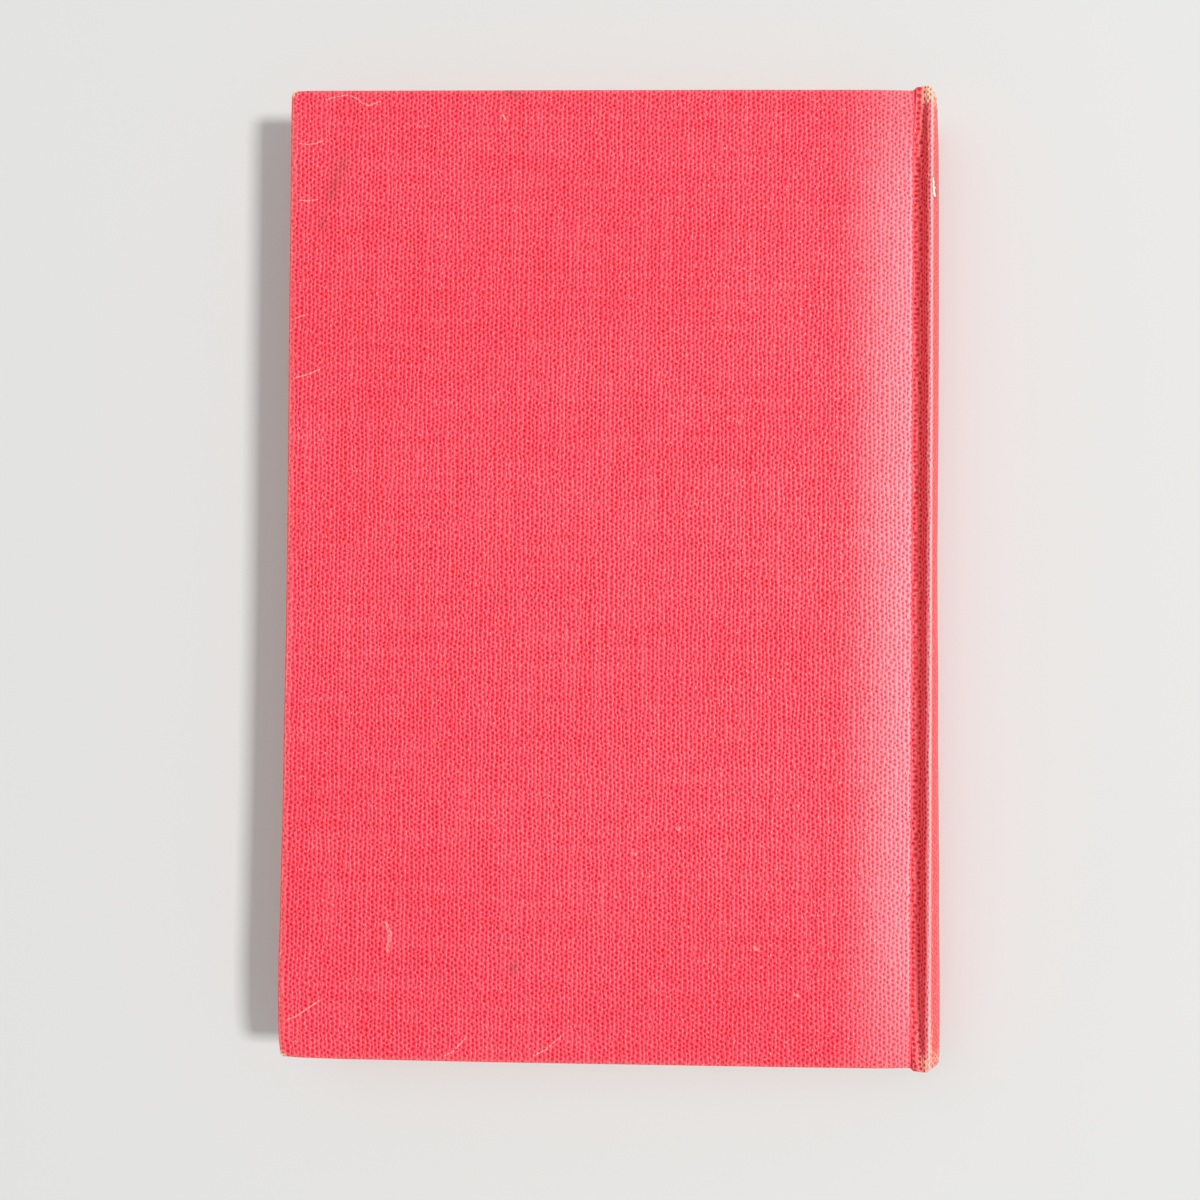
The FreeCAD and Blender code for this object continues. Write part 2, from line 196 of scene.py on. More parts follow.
def worn(side, x, y, depth):
    """A point of a cover or the spine after years of use."""
    seed = 0 if side == "back" else 50
    inward = 1 if depth < MIDDLE else -1
    on_cover = 1 - smooth(JOINT_X - 4, JOINT_X, x)
    on_spine = smooth(RIDGE_X, SPINE_X, x)
    near_fore = 1 - smooth(FORE_X, FORE_X + 30, x)
    near_end = smooth(60, COVER_HALF, abs(y)) * mix(0.4, 1, on_cover)
    fore_shift = sway(FORE_SWAY, y) if side == "back" else 0.15 * rough(y, seed, 3, 45)
    end_curve = HEAD_SWAY if y > 0 else TAIL_SWAY
    end_shift = sway(end_curve, x) if side == "back" else 0.12 * rough(x, seed, 9, 38)
    new_x = pushed_back(x) - fore_shift * near_fore
    new_x += (sway(SPINE_SWAY, y) + 0.05 * rough(abs(MIDDLE - depth), y, 20, 9)) * on_spine
    new_y = y + math.copysign(end_shift * near_end, y)

    new_depth = depth
    for corner_y, amount, reach in BENT_CORNERS[side]:
        distance = math.hypot(x - FORE_X, y - corner_y)
        new_depth += amount * (1 - smooth(0, reach, distance))
    outer_share = 1 - smooth(0, BOARD_FOLD, depth)
    droop = smooth(JOINT_X - 11, JOINT_X, x) ** 1.5 * (1 - smooth(JOINT_X, JOINT_X + 0.5, x))
    new_depth += JOINT_DROOP * droop * outer_share
    in_groove = smooth(JOINT_X - 0.35, JOINT_X + 0.25, x) * (1 - smooth(RIDGE_X - 0.9, RIDGE_X + 0.2, x))
    to_end = max(0.0, (abs(y) - 66) / (COVER_HALF - 66))
    new_depth *= 1 - END_LIFT * in_groove * min(1.0, to_end) ** 3.5
    new_depth += 0.08 * rough(x * 0.6, y, seed, 7) * in_groove * inward
    return new_x, new_y, new_depth


def place(side, x, y, depth):
    """Row-frame metres of a point at a depth below one cover's outer face."""
    x, y, depth = worn(side, x, y, depth)
    z = BOOK_HEIGHT - depth if side == "back" else depth
    return Vector((x, y, z)) * MM


# The section of the case, from the fore-edge to the middle of the spine

class Sample:
    """A point of the cloth's outer face in section, its outward normal, and where its fold ends."""

    def __init__(self, x, depth, normal, fold_end=None, fold=None, edge_y=None):
        self.x = x
        self.depth = depth
        self.normal = normal
        self.edge_y = edge_y
        if fold_end is None:
            fold_end = (x - normal[0] * fold, depth - normal[1] * fold)
        along = (fold_end[0] - x, fold_end[1] - depth)
        self.fold = math.hypot(*along)
        self.inward = (along[0] / self.fold, along[1] / self.fold)

    def inset(self, amount):
        return (self.x - self.normal[0] * amount, self.depth - self.normal[1] * amount)


def edge_line(x):
    """How far the cloth reaches towards the head or tail at this x."""
    rise = mix(COVER_HALF, SPINE_HALF, smooth(JOINT_X - 1.2, JOINT_X + 1.4, x))
    return rise - 0.35 * smooth(RIDGE_X - 0.4, RIDGE_X + 1.6, x)


def round_points(centre, radius, start, end, count):
    """Points and directions along an arc; angles in radians from +X towards greater depth."""
    for angle in spread(start, end, count):
        direction = (math.cos(angle), math.sin(angle))
        yield (centre[0] + radius * direction[0], centre[1] + radius * direction[1]), direction


def case_section(flat_xs):
    """Samples of the cloth's outer face; flat_xs are the places on the board."""
    samples = [Sample(x, 0, (0, -1), fold_end=(x, BOARD_FOLD)) for x in flat_xs]
    fold_start = (JOINT_X - JOINT_RADIUS, BOARD_FOLD)
    fold_stop = (FOOT_X + 0.05, GROOVE_DEPTH + GROOVE_FOLD)
    joint = []
    corner = (JOINT_X - JOINT_RADIUS, JOINT_RADIUS)
    for point, direction in round_points(corner, JOINT_RADIUS, -math.pi / 2, 0, 9):
        joint.append((point, direction))
    floor_start = GROOVE_DEPTH - GROOVE_CORNER
    for depth in spread(JOINT_RADIUS, floor_start, 3)[1:]:
        joint.append(((JOINT_X, depth), (1, 0)))
    corner = (JOINT_X + GROOVE_CORNER, floor_start)
    for point, direction in list(round_points(corner, GROOVE_CORNER, math.pi, math.pi / 2, 6))[1:]:
        joint.append((point, (-direction[0], -direction[1])))
    for index, (point, normal) in enumerate(joint[1:], start=1):
        share = index / (len(joint) - 1)
        fold_end = (mix(fold_start[0], fold_stop[0], share), mix(fold_start[1], fold_stop[1], share))
        samples.append(Sample(*point, normal, fold_end=fold_end))
    first = math.acos((JOINT_X + GROOVE_CORNER - FOOT_X) / FOOT_RADIUS)
    for point, direction in list(round_points(FOOT_CENTRE, FOOT_RADIUS, first, MEETING, 14))[1:]:
        samples.append(Sample(*point, (-direction[0], -direction[1]), fold=GROOVE_FOLD))
    ridge_arc = list(round_points(RIDGE_CENTRE, RIDGE_RADIUS, math.pi + MEETING, 2 * math.pi - SPINE_TURN, 16))
    for index, (point, direction) in enumerate(ridge_arc[1:], start=1):
        fold = mix(GROOVE_FOLD, SPINE_FOLD, smooth(4, 16, index))
        samples.append(Sample(*point, direction, fold=fold))
    for point, direction in list(round_points(SPINE_CENTRE, SPINE_RADIUS, -SPINE_TURN, 0, 16))[1:]:
        samples.append(Sample(*point, direction, fold=SPINE_FOLD))
    for sample in samples:
        sample.edge_y = edge_line(sample.x)
        loosen(sample)
    return samples


def loosen(sample):
    """The cloth leaves the board's edge in a soft bend instead of hugging it."""
    bridge = smooth(JOINT_X - 0.15, JOINT_X + 0.1, sample.x) * (1 - smooth(JOINT_X, JOINT_X + 1.7, sample.x))
    sample.depth *= 1 - BRIDGE * bridge


def section_lengths(samples):
    """Length of cloth from the middle of the spine to each sample."""
    lengths = [0.0]
    for before, after in zip(samples[::-1], samples[-2::-1]):
        lengths.append(lengths[-1] + math.hypot(after.x - before.x, after.depth - before.depth))
    return lengths[::-1]


# Meshes

def new_piece(name, mesh, material, body=None):
    piece = bpy.data.objects.new(name, mesh)
    bpy.context.scene.collection.objects.link(piece)
    mesh.materials.append(material)
    if body:
        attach(piece, body)
    return piece


def finish_mesh(bm, name):
    """A mesh from a closed bmesh, with its faces outwards."""
    bmesh.ops.recalc_face_normals(bm, faces=bm.faces)
    mesh = bpy.data.meshes.new(name)
    bm.to_mesh(mesh)
    bm.free()
    sharpen(mesh)
    return mesh


def sharpen(mesh, angle=math.radians(55)):
    """Smooth shading, but crisp edges where the mesh turns by more than the angle."""
    for polygon in mesh.polygons:
        polygon.use_smooth = True
    mesh.set_sharp_from_angle(angle=angle)


def close_shell(bm, thick, towards):
    """Gives an open sheet its thickness on the inner side; towards is the outward test of the first face."""
    bm.normal_update()
    face = min(bm.faces, key=lambda item: (item.calc_center_median() - towards[0]).length)
    if face.normal.dot(towards[1]) < 0:
        bmesh.ops.reverse_faces(bm, faces=bm.faces)
    bm.normal_update()
    layers = list(bm.verts.layers.float_vector.values()) + list(bm.verts.layers.float.values())
    outer = list(bm.verts)
    border = [edge for edge in bm.edges if len(edge.link_faces) == 1]
    inner = {}
    for vert in outer:
        twin = bm.verts.new(vert.co - vert.normal * vert[thick])
        for layer in layers:
            twin[layer] = vert[layer]
        inner[vert] = twin
    for face in list(bm.faces):
        bm.faces.new([inner[vert] for vert in reversed(face.verts)])
    for edge in border:
        loop = edge.link_loops[0]
        a, b = loop.vert, loop.link_loop_next.vert
        bm.faces.new((b, a, inner[a], inner[b]))


def grid_faces(bm, rows):
    """Joins neighbouring rows of vertices with quads."""
    for lower, upper in zip(rows, rows[1:]):
        for a, b, c, d in zip(lower, lower[1:], upper[1:], upper):
            if len({a, b, c, d}) == 4:
                bm.faces.new((a, b, c, d))


# The cloth: one skin for each cover, from the turned-in fore-edge to the middle of the spine

ROUND_STEPS = 5
WALL_STEPS = 3
TURN_IN_PLACES = (1.2, 2.6, 8, TURN_IN)


def fold_profile(radius, fold):
    """(outwards, inwards, length along the cloth) down the fold of an edge, after the first point."""
    steps = []
    for angle in spread(0, math.pi / 2, ROUND_STEPS)[1:]:
        steps.append((radius * math.sin(angle), radius * (1 - math.cos(angle)), radius * angle))
    length = radius * math.pi / 2
    wall = fold - 2 * radius
    for share in spread(0, 1, WALL_STEPS)[1:]:
        steps.append((radius, radius + wall * share, length + wall * share))
    length += wall
    for angle in spread(0, math.pi / 2, ROUND_STEPS)[1:]:
        steps.append((radius * math.cos(angle), fold - radius + radius * math.sin(angle), length + radius * angle))
    length += radius * math.pi / 2
    for inward in TURN_IN_PLACES:
        steps.append((radius - inward, fold, length + inward - radius))
    return steps


def edge_radius(fold):
    return min(EDGE_RADIUS, fold * 0.49)


def flat_places():
    """Where the grid's columns stand on the board, close together near the fore-edge corner."""
    start = FORE_X + EDGE_RADIUS
    near = [start, FORE_X + CORNER_RADIUS, FORE_X + 1.6, FORE_X + 2.5, FORE_X + 3.6, FORE_X + 5, FORE_X + 7]
    return near + spread(FORE_X + 7, JOINT_X - JOINT_RADIUS, 38)[1:]


def row_places():
    """Where the grid's rows stand along the book, close together near head and tail."""
    edge = COVER_HALF
    ends = [edge - EDGE_RADIUS, edge - CORNER_RADIUS, edge - 1.6, edge - 2.5, edge - 3.6, edge - 5, edge - 7]
    inner = spread(-(edge - 7), edge - 7, 70)[1:-1]
    return [-y for y in ends] + inner + ends[::-1]


def make_cloth(side, material, marked=None):
    """The outer skin of one cover and half of the spine; marked is the material where it has been knocked."""
    samples = case_section(flat_places())
    lengths = section_lengths(samples)
    ys = row_places()
    bm = bmesh.new()
    cloth_layer = bm.verts.layers.float_vector.new("cloth")
    rest_layer = bm.verts.layers.float_vector.new("rest")
    thick_layer = bm.verts.layers.float.new("thick")

    def add(x, y, depth, u, v, thickness=CLOTH):
        vert = bm.verts.new((x, y, depth))
        vert[cloth_layer] = (u, v, 0)
        stretched = smooth(JOINT_X, JOINT_X + 0.6, x) * (1 - smooth(RIDGE_X, RIDGE_X + 1.2, x))
        vert[thick_layer] = thickness * mix(1, 0.75, stretched)
        return vert

    top = []
    for column, sample in enumerate(samples):
        half = sample.edge_y - edge_radius(sample.fold)
        scale = half / ys[-1]
        line = []
        for row, y in enumerate(ys):
            missing = column == 0 and row in (0, len(ys) - 1)
            line.append(None if missing else add(sample.x, y * scale, sample.depth, lengths[column], y * scale))
        top.append(line)
    last_row = len(ys) - 1
    for column in range(len(samples) - 1):
        for row in range(last_row):
            corners = (top[column][row], top[column + 1][row], top[column + 1][row + 1], top[column][row + 1])
            if None not in corners:
                bm.faces.new(corners)

    # The ring round tail, fore-edge and head: (vertex, outward, inward, fold, u, v)
    def straight(column, row, outward):
        sample = samples[column]
        inward = (sample.inward[0], sample.inward[1])
        return (top[column][row], outward, inward, sample.fold)

    def corner(row_sign):
        """Points round a fore-edge corner, from the tail or head line to the fore-edge line."""
        small = CORNER_RADIUS - EDGE_RADIUS
        centre = (FORE_X + CORNER_RADIUS, row_sign * (COVER_HALF - CORNER_RADIUS))
        entries = []
        for angle in spread(0, math.pi / 2, 7)[1:-1]:
            outward = (-math.sin(angle), row_sign * math.cos(angle))
            x = centre[0] + small * outward[0]
            y = centre[1] + small * outward[1]
            vert = add(x, y, 0, lengths[1] + centre[0] - x, y)
            entries.append((vert, outward, (0, 1), BOARD_FOLD))
        return entries

    tail_corner = corner(-1)
    head_corner = corner(1)
    ring = [straight(column, 0, (0, -1)) for column in range(len(samples) - 1, 0, -1)]
    ring += tail_corner
    ring += [straight(0, row, (-1, 0)) for row in range(1, last_row)]
    ring += head_corner[::-1]
    ring += [straight(column, last_row, (0, 1)) for column in range(1, len(samples))]

    for centre, fan, row in (
            (top[1][1], tail_corner, 0), (top[1][last_row - 1], head_corner, last_row)):
        near = 1 if row == 0 else last_row - 1
        chain = [top[1][row]] + [entry[0] for entry in fan] + [top[0][near]]
        for a, b in zip(chain, chain[1:]):
            bm.faces.new((centre, a, b))

    previous = [entry[0] for entry in ring]
    profiles = [fold_profile(edge_radius(fold), fold) for _, _, _, fold in ring]
    for step in range(len(profiles[0])):
        current = []
        for (base, outward, inward, fold), profile in zip(ring, profiles):
            out, down, length = profile[step]
            x = base.co.x + outward[0] * out + inward[0] * down
            y = base.co.y + outward[1] * out
            depth = base.co.z + inward[1] * down
            turned = step >= 2 * ROUND_STEPS + WALL_STEPS
            if turned:
                w = TURN_IN_PLACES[step - 2 * ROUND_STEPS - WALL_STEPS]
                x = max(x, FORE_X + w)
                y = math.copysign(min(abs(y), SPINE_HALF - w if x > JOINT_X else COVER_HALF - w), y)
            radius = edge_radius(fold)
            thickness = min(CLOTH, 0.9 * radius)
            if turned:
                thickness = min(CLOTH, fold - CLOTH)
            u, v = base[cloth_layer].x, base[cloth_layer].y
            u -= outward[0] * length
            v += outward[1] * length
            current.append(add(x, y, depth, u, v, thickness))
        grid_faces(bm, [previous, current])
        previous = current
    bmesh.ops.remove_doubles(bm, verts=bm.verts, dist=1e-5)
    for vert in bm.verts:
        vert[rest_layer] = vert.co
        if side == "front":
            vert[cloth_layer].x = -vert[cloth_layer].x
    close_shell(bm, thick_layer, (Vector((0, 0, 0)), Vector((0, 0, -1))))
    for vert in bm.verts:
        vert.co = place(side, *vert.co)
    mesh = finish_mesh(bm, f"{side}_cloth")
    piece = new_piece(f"{side}_cloth", mesh, material)
    if marked:
        mesh.materials.append(marked)
        for polygon in mesh.polygons:
            x, y, z = polygon.center / MM
            if z > BOOK_HEIGHT - 3 and near_mark(x, y):
                polygon.material_index = 1
    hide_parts(f"{side}_cover_cloth", "spine_cloth")
    blend_at_joint(piece, side)
    return piece


def blend_at_joint(piece, side):
    """The cloth, gauze and paper bend in the groove, between the shoulder and the board's edge."""
    z = BOOK_HEIGHT - 2 if side == "back" else 2
    shoulder = (FOOT_X + FOOT_RADIUS + 0.1, 0, z)
    board_edge = (JOINT_X + 0.05, 0, z)
    start = tuple(value * MM for value in shoulder)
    end = tuple(value * MM for value in board_edge)
    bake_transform(piece, "block", f"{side}_cover", start=start, end=end)


# Boards

def make_board(side, material):
    xs = [board_low.x + 0.02, FORE_X + 1, FORE_X + 2, FORE_X + 3, FORE_X + 4.5, FORE_X + 7]
    xs += spread(FORE_X + 7, JOINT_X - JOINT_RADIUS, 12)[1:] + [JOINT_X - CLOTH]
    half = COVER_HALF - CLOTH
    ends = [half, half - 0.65, half - 1.65, half - 2.65, half - 4.2, half - 7]
    ys = [-y for y in ends] + spread(-half + 7, half - 7, 16)[1:-1] + ends[::-1]
    xs[0] = FORE_X + CLOTH
    bm = bmesh.new()
    rows = {}
    for level, depth in ((0, CLOTH + 0.02), (1, CLOTH + BOARD - 0.02)):
        for i, x in enumerate(xs):
            for j, y in enumerate(ys):
                at_corner = i == 0 and j in (0, len(ys) - 1)
                shift = 0.2 if at_corner else 0
                sunk = JOINT_RADIUS - CLOTH if level == 0 and i == len(xs) - 1 else 0
                rows[level, i, j] = bm.verts.new((x + shift, y - math.copysign(shift, y), depth + sunk))
    last_i, last_j = len(xs) - 1, len(ys) - 1
    for level in (0, 1):
        for i in range(last_i):
            for j in range(last_j):
                quad = [rows[level, i, j], rows[level, i + 1, j], rows[level, i + 1, j + 1], rows[level, i, j + 1]]
                bm.faces.new(quad if level == 0 else quad[::-1])
    border = [(i, 0) for i in range(last_i)] + [(last_i, j) for j in range(last_j)]
    border += [(i, last_j) for i in range(last_i, 0, -1)] + [(0, j) for j in range(last_j, 0, -1)]
    for (i, j), (k, l) in zip(border, border[1:] + border[:1]):
        bm.faces.new((rows[1, i, j], rows[1, k, l], rows[0, k, l], rows[0, i, j]))
    for vert in bm.verts:
        vert.co = place(side, *vert.co)
    mesh = finish_mesh(bm, f"{side}_greyboard")
    piece = new_piece(f"{side}_greyboard", mesh, material, f"{side}_cover")
    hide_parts(f"{side}_board")
    return piece


# Sheets that follow the inside of the case: pastedown with its hinge, and gauze

def sheet_piece(name, side, section, ys, thickness, material, depth_at=None, body=None):
    """A thin closed sheet along a section of (x, depth) points that face the pages."""
    bm = bmesh.new()
    cloth_layer = bm.verts.layers.float_vector.new("cloth")
    thick_layer = bm.verts.layers.float.new("thick")
    rows = []
    for index, (x, depth) in enumerate(section):
        line = []
        for y in ys:
            level = depth_at(x, y, depth) if depth_at else depth
            vert = bm.verts.new((x, y, level))
            vert[cloth_layer] = (x, y, 0)
            vert[thick_layer] = thickness(x) if callable(thickness) else thickness
            line.append(vert)
        rows.append(line)
    grid_faces(bm, rows)
    middle = Vector((section[0][0], 0, section[0][1]))
    close_shell(bm, thick_layer, (middle, Vector((0, 0, 1))))
    for vert in bm.verts:
        vert.co = place(side, *vert.co)
    piece = new_piece(name, finish_mesh(bm, name), material, body)
    if not body:
        blend_at_joint(piece, side)
    return piece


def shoulder_line(inset, to_spine):
    """(x, depth) from the board's edge down the joint and up the shoulder, inset under the cloth."""
    points = [(JOINT_X + 0.1, GROOVE_DEPTH + inset)]
    first = math.pi / 2
    for point, _ in round_points(FOOT_CENTRE, FOOT_RADIUS + inset, first, MEETING, 20):
        points.append(point)
    ridge = RIDGE_RADIUS - inset
    for point, _ in list(round_points(RIDGE_CENTRE, ridge, math.pi + MEETING, 1.5 * math.pi, 8))[1:]:
        points.append(point)
    if to_spine:
        radius = BLOCK_RADIUS + MULL
        for point, _ in round_points(SPINE_CENTRE, radius, -SPINE_TURN + 0.06, 0, 10):
            points.append(point)
    return points


PASTEDOWN_RIM = COVER_DEPTH
PASTEDOWN_SUNK = BOARD_FOLD - CLOTH + ENDPAPER
PASTEDOWN_GAUZE = PASTEDOWN_SUNK + MULL
TELEGRAPH = 0.9


def pastedown_depth(x, y, depth):
    """The glued endpaper sinks between the turn-ins and steps up over the gauze."""
    if x > JOINT_X - 0.5:
        return depth
    edge = FORE_X + TURN_IN + CLOTH
    inside_y = COVER_HALF - CLOTH - TURN_IN
    sink = smooth(edge, edge + TELEGRAPH, x) * (1 - smooth(inside_y - TELEGRAPH, inside_y, abs(y)))
    over_gauze = smooth(FLANGE_X - TELEGRAPH, FLANGE_X, x) * (1 - smooth(MULL_HALF, MULL_HALF + TELEGRAPH, abs(y)))
    bare = mix(PASTEDOWN_SUNK, PASTEDOWN_GAUZE, over_gauze)
    ripple = 0.02 * rough(x, y, 7, 5)
    return mix(PASTEDOWN_RIM, bare + ripple, sink)


def dense_places(low, high, count, steps):
    """Even places with extra ones close to each step."""
    places = set(round(value, 3) for value in spread(low, high, count))
    for step in steps:
        for shift in (-0.2, 0, 0.15, 0.3, 0.45, 0.6, 0.75, 0.9, 1.1):
            value = round(step + shift, 3)
            if low < value < high:
                places.add(value)
    return sorted(places)


def paper_rows():
    """Where the rows of both halves of an endpaper stand along the book."""
    turn_y = COVER_HALF - CLOTH - TURN_IN
    steps = (-turn_y, turn_y - TELEGRAPH, -MULL_HALF - TELEGRAPH, MULL_HALF)
    return dense_places(-PAGE_HALF, PAGE_HALF, 64, steps)


def make_pastedown(side, material):
    turn_x = FORE_X + TURN_IN + CLOTH
    xs = dense_places(PAGE_FORE_X, JOINT_X - 0.6, 44, (turn_x, FLANGE_X - TELEGRAPH))
    ys = paper_rows()
    section = [(x, PASTEDOWN_RIM) for x in xs]
    section += [(JOINT_X - 0.3, PASTEDOWN_GAUZE + 0.05)]
    section += shoulder_line(CLOTH + MULL, False)
    thickness = lambda x: mix(ENDPAPER, 0.08, smooth(JOINT_X - 1.5, JOINT_X, x))
    name = f"{side}_endpaper"
    piece = sheet_piece(name, side, section, ys, thickness, material, pastedown_depth)
    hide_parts(f"{side}_pastedown")
    return piece


def make_free_leaf(side, material):
    """The free half of the endpapers, lying on the pages and folded up along the shoulder."""
    xs = spread(PAGE_FORE_X + 0.1, JOINT_X - 0.6, 40) + [JOINT_X - 0.3]
    ys = paper_rows()
    section = [(x, PAGE_DEPTH - 0.01) for x in xs] + shoulder_line(CLOTH + MULL + ENDPAPER - 0.01, False)
    piece = sheet_piece(f"{side}_free_leaf", side, section, ys, 0.09, material, body="block")
    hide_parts(f"{side}_flyleaf")
    return piece


def make_gauze(side, material):
    section = [(x, CLOTH + BOARD + MULL - 0.02) for x in spread(FLANGE_X, JOINT_X - 0.4, 10)]
    section += shoulder_line(CLOTH + 0.1, True)
    ys = spread(-MULL_HALF, MULL_HALF, 40)
    piece = sheet_piece(f"{side}_gauze", side, section, ys, 0.08, material)
    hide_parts(f"{side}_mull_flange", "spine_mull")
    return piece


# Pages: every leaf is a thin closed sheet of its own

LEAF_COUNT = 76
LEAVES_PER_SECTION = 8
FORE_EDGE_HOLLOW = 1.4


def leaf_curve(share):
    """(x, z) along one leaf, from the fore-edge to the back; share 0 is the lowest leaf."""
    low = PAGE_DEPTH + 0.02
    z = mix(low, BOOK_HEIGHT - low, share)
    half = MIDDLE - low
    across = (z - MIDDLE) / half
    start = PAGE_FORE_X + FORE_EDGE_HOLLOW * (1 - across ** 2)
    outer = abs(across)
    side = math.copysign(1, across)
    end_angle = across * (SPINE_TURN - 0.03)
    end = (
        SPINE_CENTRE[0] + BLOCK_RADIUS * math.cos(end_angle) - 0.02,
        MIDDLE + BLOCK_RADIUS * math.sin(end_angle),
    )
    points = [(x, z) for x in spread(start, FOOT_X - 2, 10)]
    bend_start = (FOOT_X - 2, z)
    hold = (mix(end[0] - 0.5, FOOT_X + 1.1, outer ** 3), z)
    pull = (end[0] - mix(1.2, 0.35, outer ** 2), mix(end[1], z, 0.25) - side * 0.1 * outer)
    for t in spread(0, 1, 10)[1:]:
        a, b, c, d = (1 - t) ** 3, 3 * t * (1 - t) ** 2, 3 * t * t * (1 - t), t ** 3
        points.append((
            a * bend_start[0] + b * hold[0] + c * pull[0] + d * end[0],
            a * bend_start[1] + b * hold[1] + c * pull[1] + d * end[1],
        ))
    return points


def make_pages(material):
    """The sewn block: leaves in sections, each a hair longer or shorter than its neighbours."""
    random.seed(11)
    thickness = (BOOK_HEIGHT - 2 * PAGE_DEPTH - 0.04) / LEAF_COUNT
    verts = []
    faces = []
    leaf_tint = []
    section_shift = 0.0
    for leaf in range(LEAF_COUNT):
        if leaf % LEAVES_PER_SECTION == 0:
            section_shift = random.uniform(-0.06, 0.06)
        inset = abs(random.gauss(0, 0.035))
        head = PAGE_HALF - 0.07 + section_shift - inset
        tail = -PAGE_HALF + 0.07 + section_shift + abs(random.gauss(0, 0.035))
        fore = abs(random.gauss(0, 0.05)) + 0.5 * abs(section_shift)
        lower = leaf_curve(leaf / LEAF_COUNT)
        upper = leaf_curve((leaf + 0.86) / LEAF_COUNT)
        base = len(verts)
        count = len(lower)
        tint = random.random()
        for y in (tail, head):
            for curve in (lower, upper):
                for index, (x, z) in enumerate(curve):
                    shift = fore if index == 0 else 0
                    verts.append(Vector((pushed_back(x) + shift, y, z)) * MM)
        leaf_tint += [tint] * (4 * count)
        tail_low, tail_high, head_low, head_high = (base + count * k for k in range(4))
        for i in range(count - 1):
            faces.append((tail_low + i, tail_low + i + 1, tail_high + i + 1, tail_high + i))
            faces.append((head_low + i, head_high + i, head_high + i + 1, head_low + i + 1))
            faces.append((tail_low + i, head_low + i, head_low + i + 1, tail_low + i + 1))
            faces.append((tail_high + i, tail_high + i + 1, head_high + i + 1, head_high + i))
        last = count - 1
        faces.append((tail_low, tail_high, head_high, head_low))
        faces.append((tail_low + last, head_low + last, head_high + last, tail_high + last))
    mesh = bpy.data.meshes.new("pages")
    mesh.from_pydata(verts, [], faces)
    tint = mesh.attributes.new("leaf", "FLOAT", "POINT")
    tint.data.foreach_set("value", np.array(leaf_tint, np.float32))
    sharpen(mesh)
    piece = new_piece("pages", mesh, material, "block")
    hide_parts("text_block")
    return piece


# Head and tail bands

def make_band(end, material):
    """A worked band: a cord wound with thread."""
    name = "head_band" if end > 0 else "tail_band"
    low, high = box_mm(name)
    radius = (high.y - low.y) / 2
    arc = BLOCK_RADIUS - radius
    reach = math.asin((high.z - low.z - 0.6) / 2 / arc)
    centre_y = (low.y + high.y) / 2
    turns = 15
    steps = turns * 10
    around = 14
    bm = bmesh.new()
    rings = []
    for index in range(steps + 1):
        angle = mix(-reach, reach, index / steps)
        wound = 0.88 + 0.12 * abs(math.sin(math.pi * turns * index / steps))
        end_taper = min(1, 0.55 + 0.45 * smooth(0, 8, min(index, steps - index)))
        ring = []
        for k in range(around):
            turn = 2 * math.pi * k / around
            r = radius * wound * end_taper
            out = arc + r * math.cos(turn)
            ring.append(bm.verts.new((
                SPINE_CENTRE[0] + out * math.cos(angle),
                centre_y + r * math.sin(turn),
                MIDDLE + out * math.sin(angle),
            )))
        rings.append(ring)
    for a, b in zip(rings, rings[1:]):
        for k in range(around):
            l = (k + 1) % around
            bm.faces.new((a[k], a[l], b[l], b[k]))
    bm.faces.new(rings[0][::-1])
    bm.faces.new(rings[-1])
    for vert in bm.verts:
        vert.co *= MM
    piece = new_piece(f"worked_{name}", finish_mesh(bm, name), material, "block")
    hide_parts(name)
    return piece


# The stiff card inside the spine

INLAY = 0.4


def make_spine_card(material):
    low, high = box_mm("spine_inlay")
    outer = SPINE_RADIUS - CLOTH - 0.02
    reach = math.asin((high.z - low.z) / 2 / (SPINE_RADIUS - CLOTH))
    angles = spread(-reach, reach, 24)
    ys = spread(low.y, high.y, 48)
    bm = bmesh.new()
    faces_of = []
    for radius in (outer, outer - INLAY + 0.04):
        rows = []
        for y in ys:
            row = []
            for angle in angles:
                x = SPINE_CENTRE[0] + radius * math.cos(angle)
                shift = sway(SPINE_SWAY, y) * smooth(RIDGE_X, SPINE_X, x)
                row.append(bm.verts.new((x + shift, y, MIDDLE + radius * math.sin(angle))))
            rows.append(row)
        faces_of.append(rows)
        grid_faces(bm, rows)
    outside, inside = faces_of
    for first, second in ((outside[0], inside[0]), (outside[-1], inside[-1])):
        grid_faces(bm, [first, second])
    for column in (0, -1):
        grid_faces(bm, [[row[column] for row in outside], [row[column] for row in inside]])
    for vert in bm.verts:
        vert.co *= MM
    piece = new_piece("spine_card", finish_mesh(bm, "spine_card"), material, "block")
    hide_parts("spine_inlay")
    return piece


# Loose threads where the cloth is rubbed through

def tube(points, radius, sides=5):
    """Vertices and faces of a thin closed tube through the points, in millimetres."""
    verts = []
    faces = []
    for index, point in enumerate(points):
        before = points[max(0, index - 1)]
        after = points[min(len(points) - 1, index + 1)]
        along = (after - before).normalized()
        side = along.orthogonal().normalized()
        up = along.cross(side)
        taper = 0.55 + 0.45 * min(1, min(index, len(points) - 1 - index) / 2)
        for k in range(sides):
            turn = 2 * math.pi * k / sides
            verts.append(point + (side * math.cos(turn) + up * math.sin(turn)) * radius * taper)
    for index in range(len(points) - 1):
        for k in range(sides):
            l = (k + 1) % sides
            a, b = index * sides + k, index * sides + l
            faces.append((a, b, b + sides, a + sides))
    last = (len(points) - 1) * sides
    faces.append(tuple(range(sides))[::-1])
    faces.append(tuple(last + k for k in range(sides)))
    return verts, faces


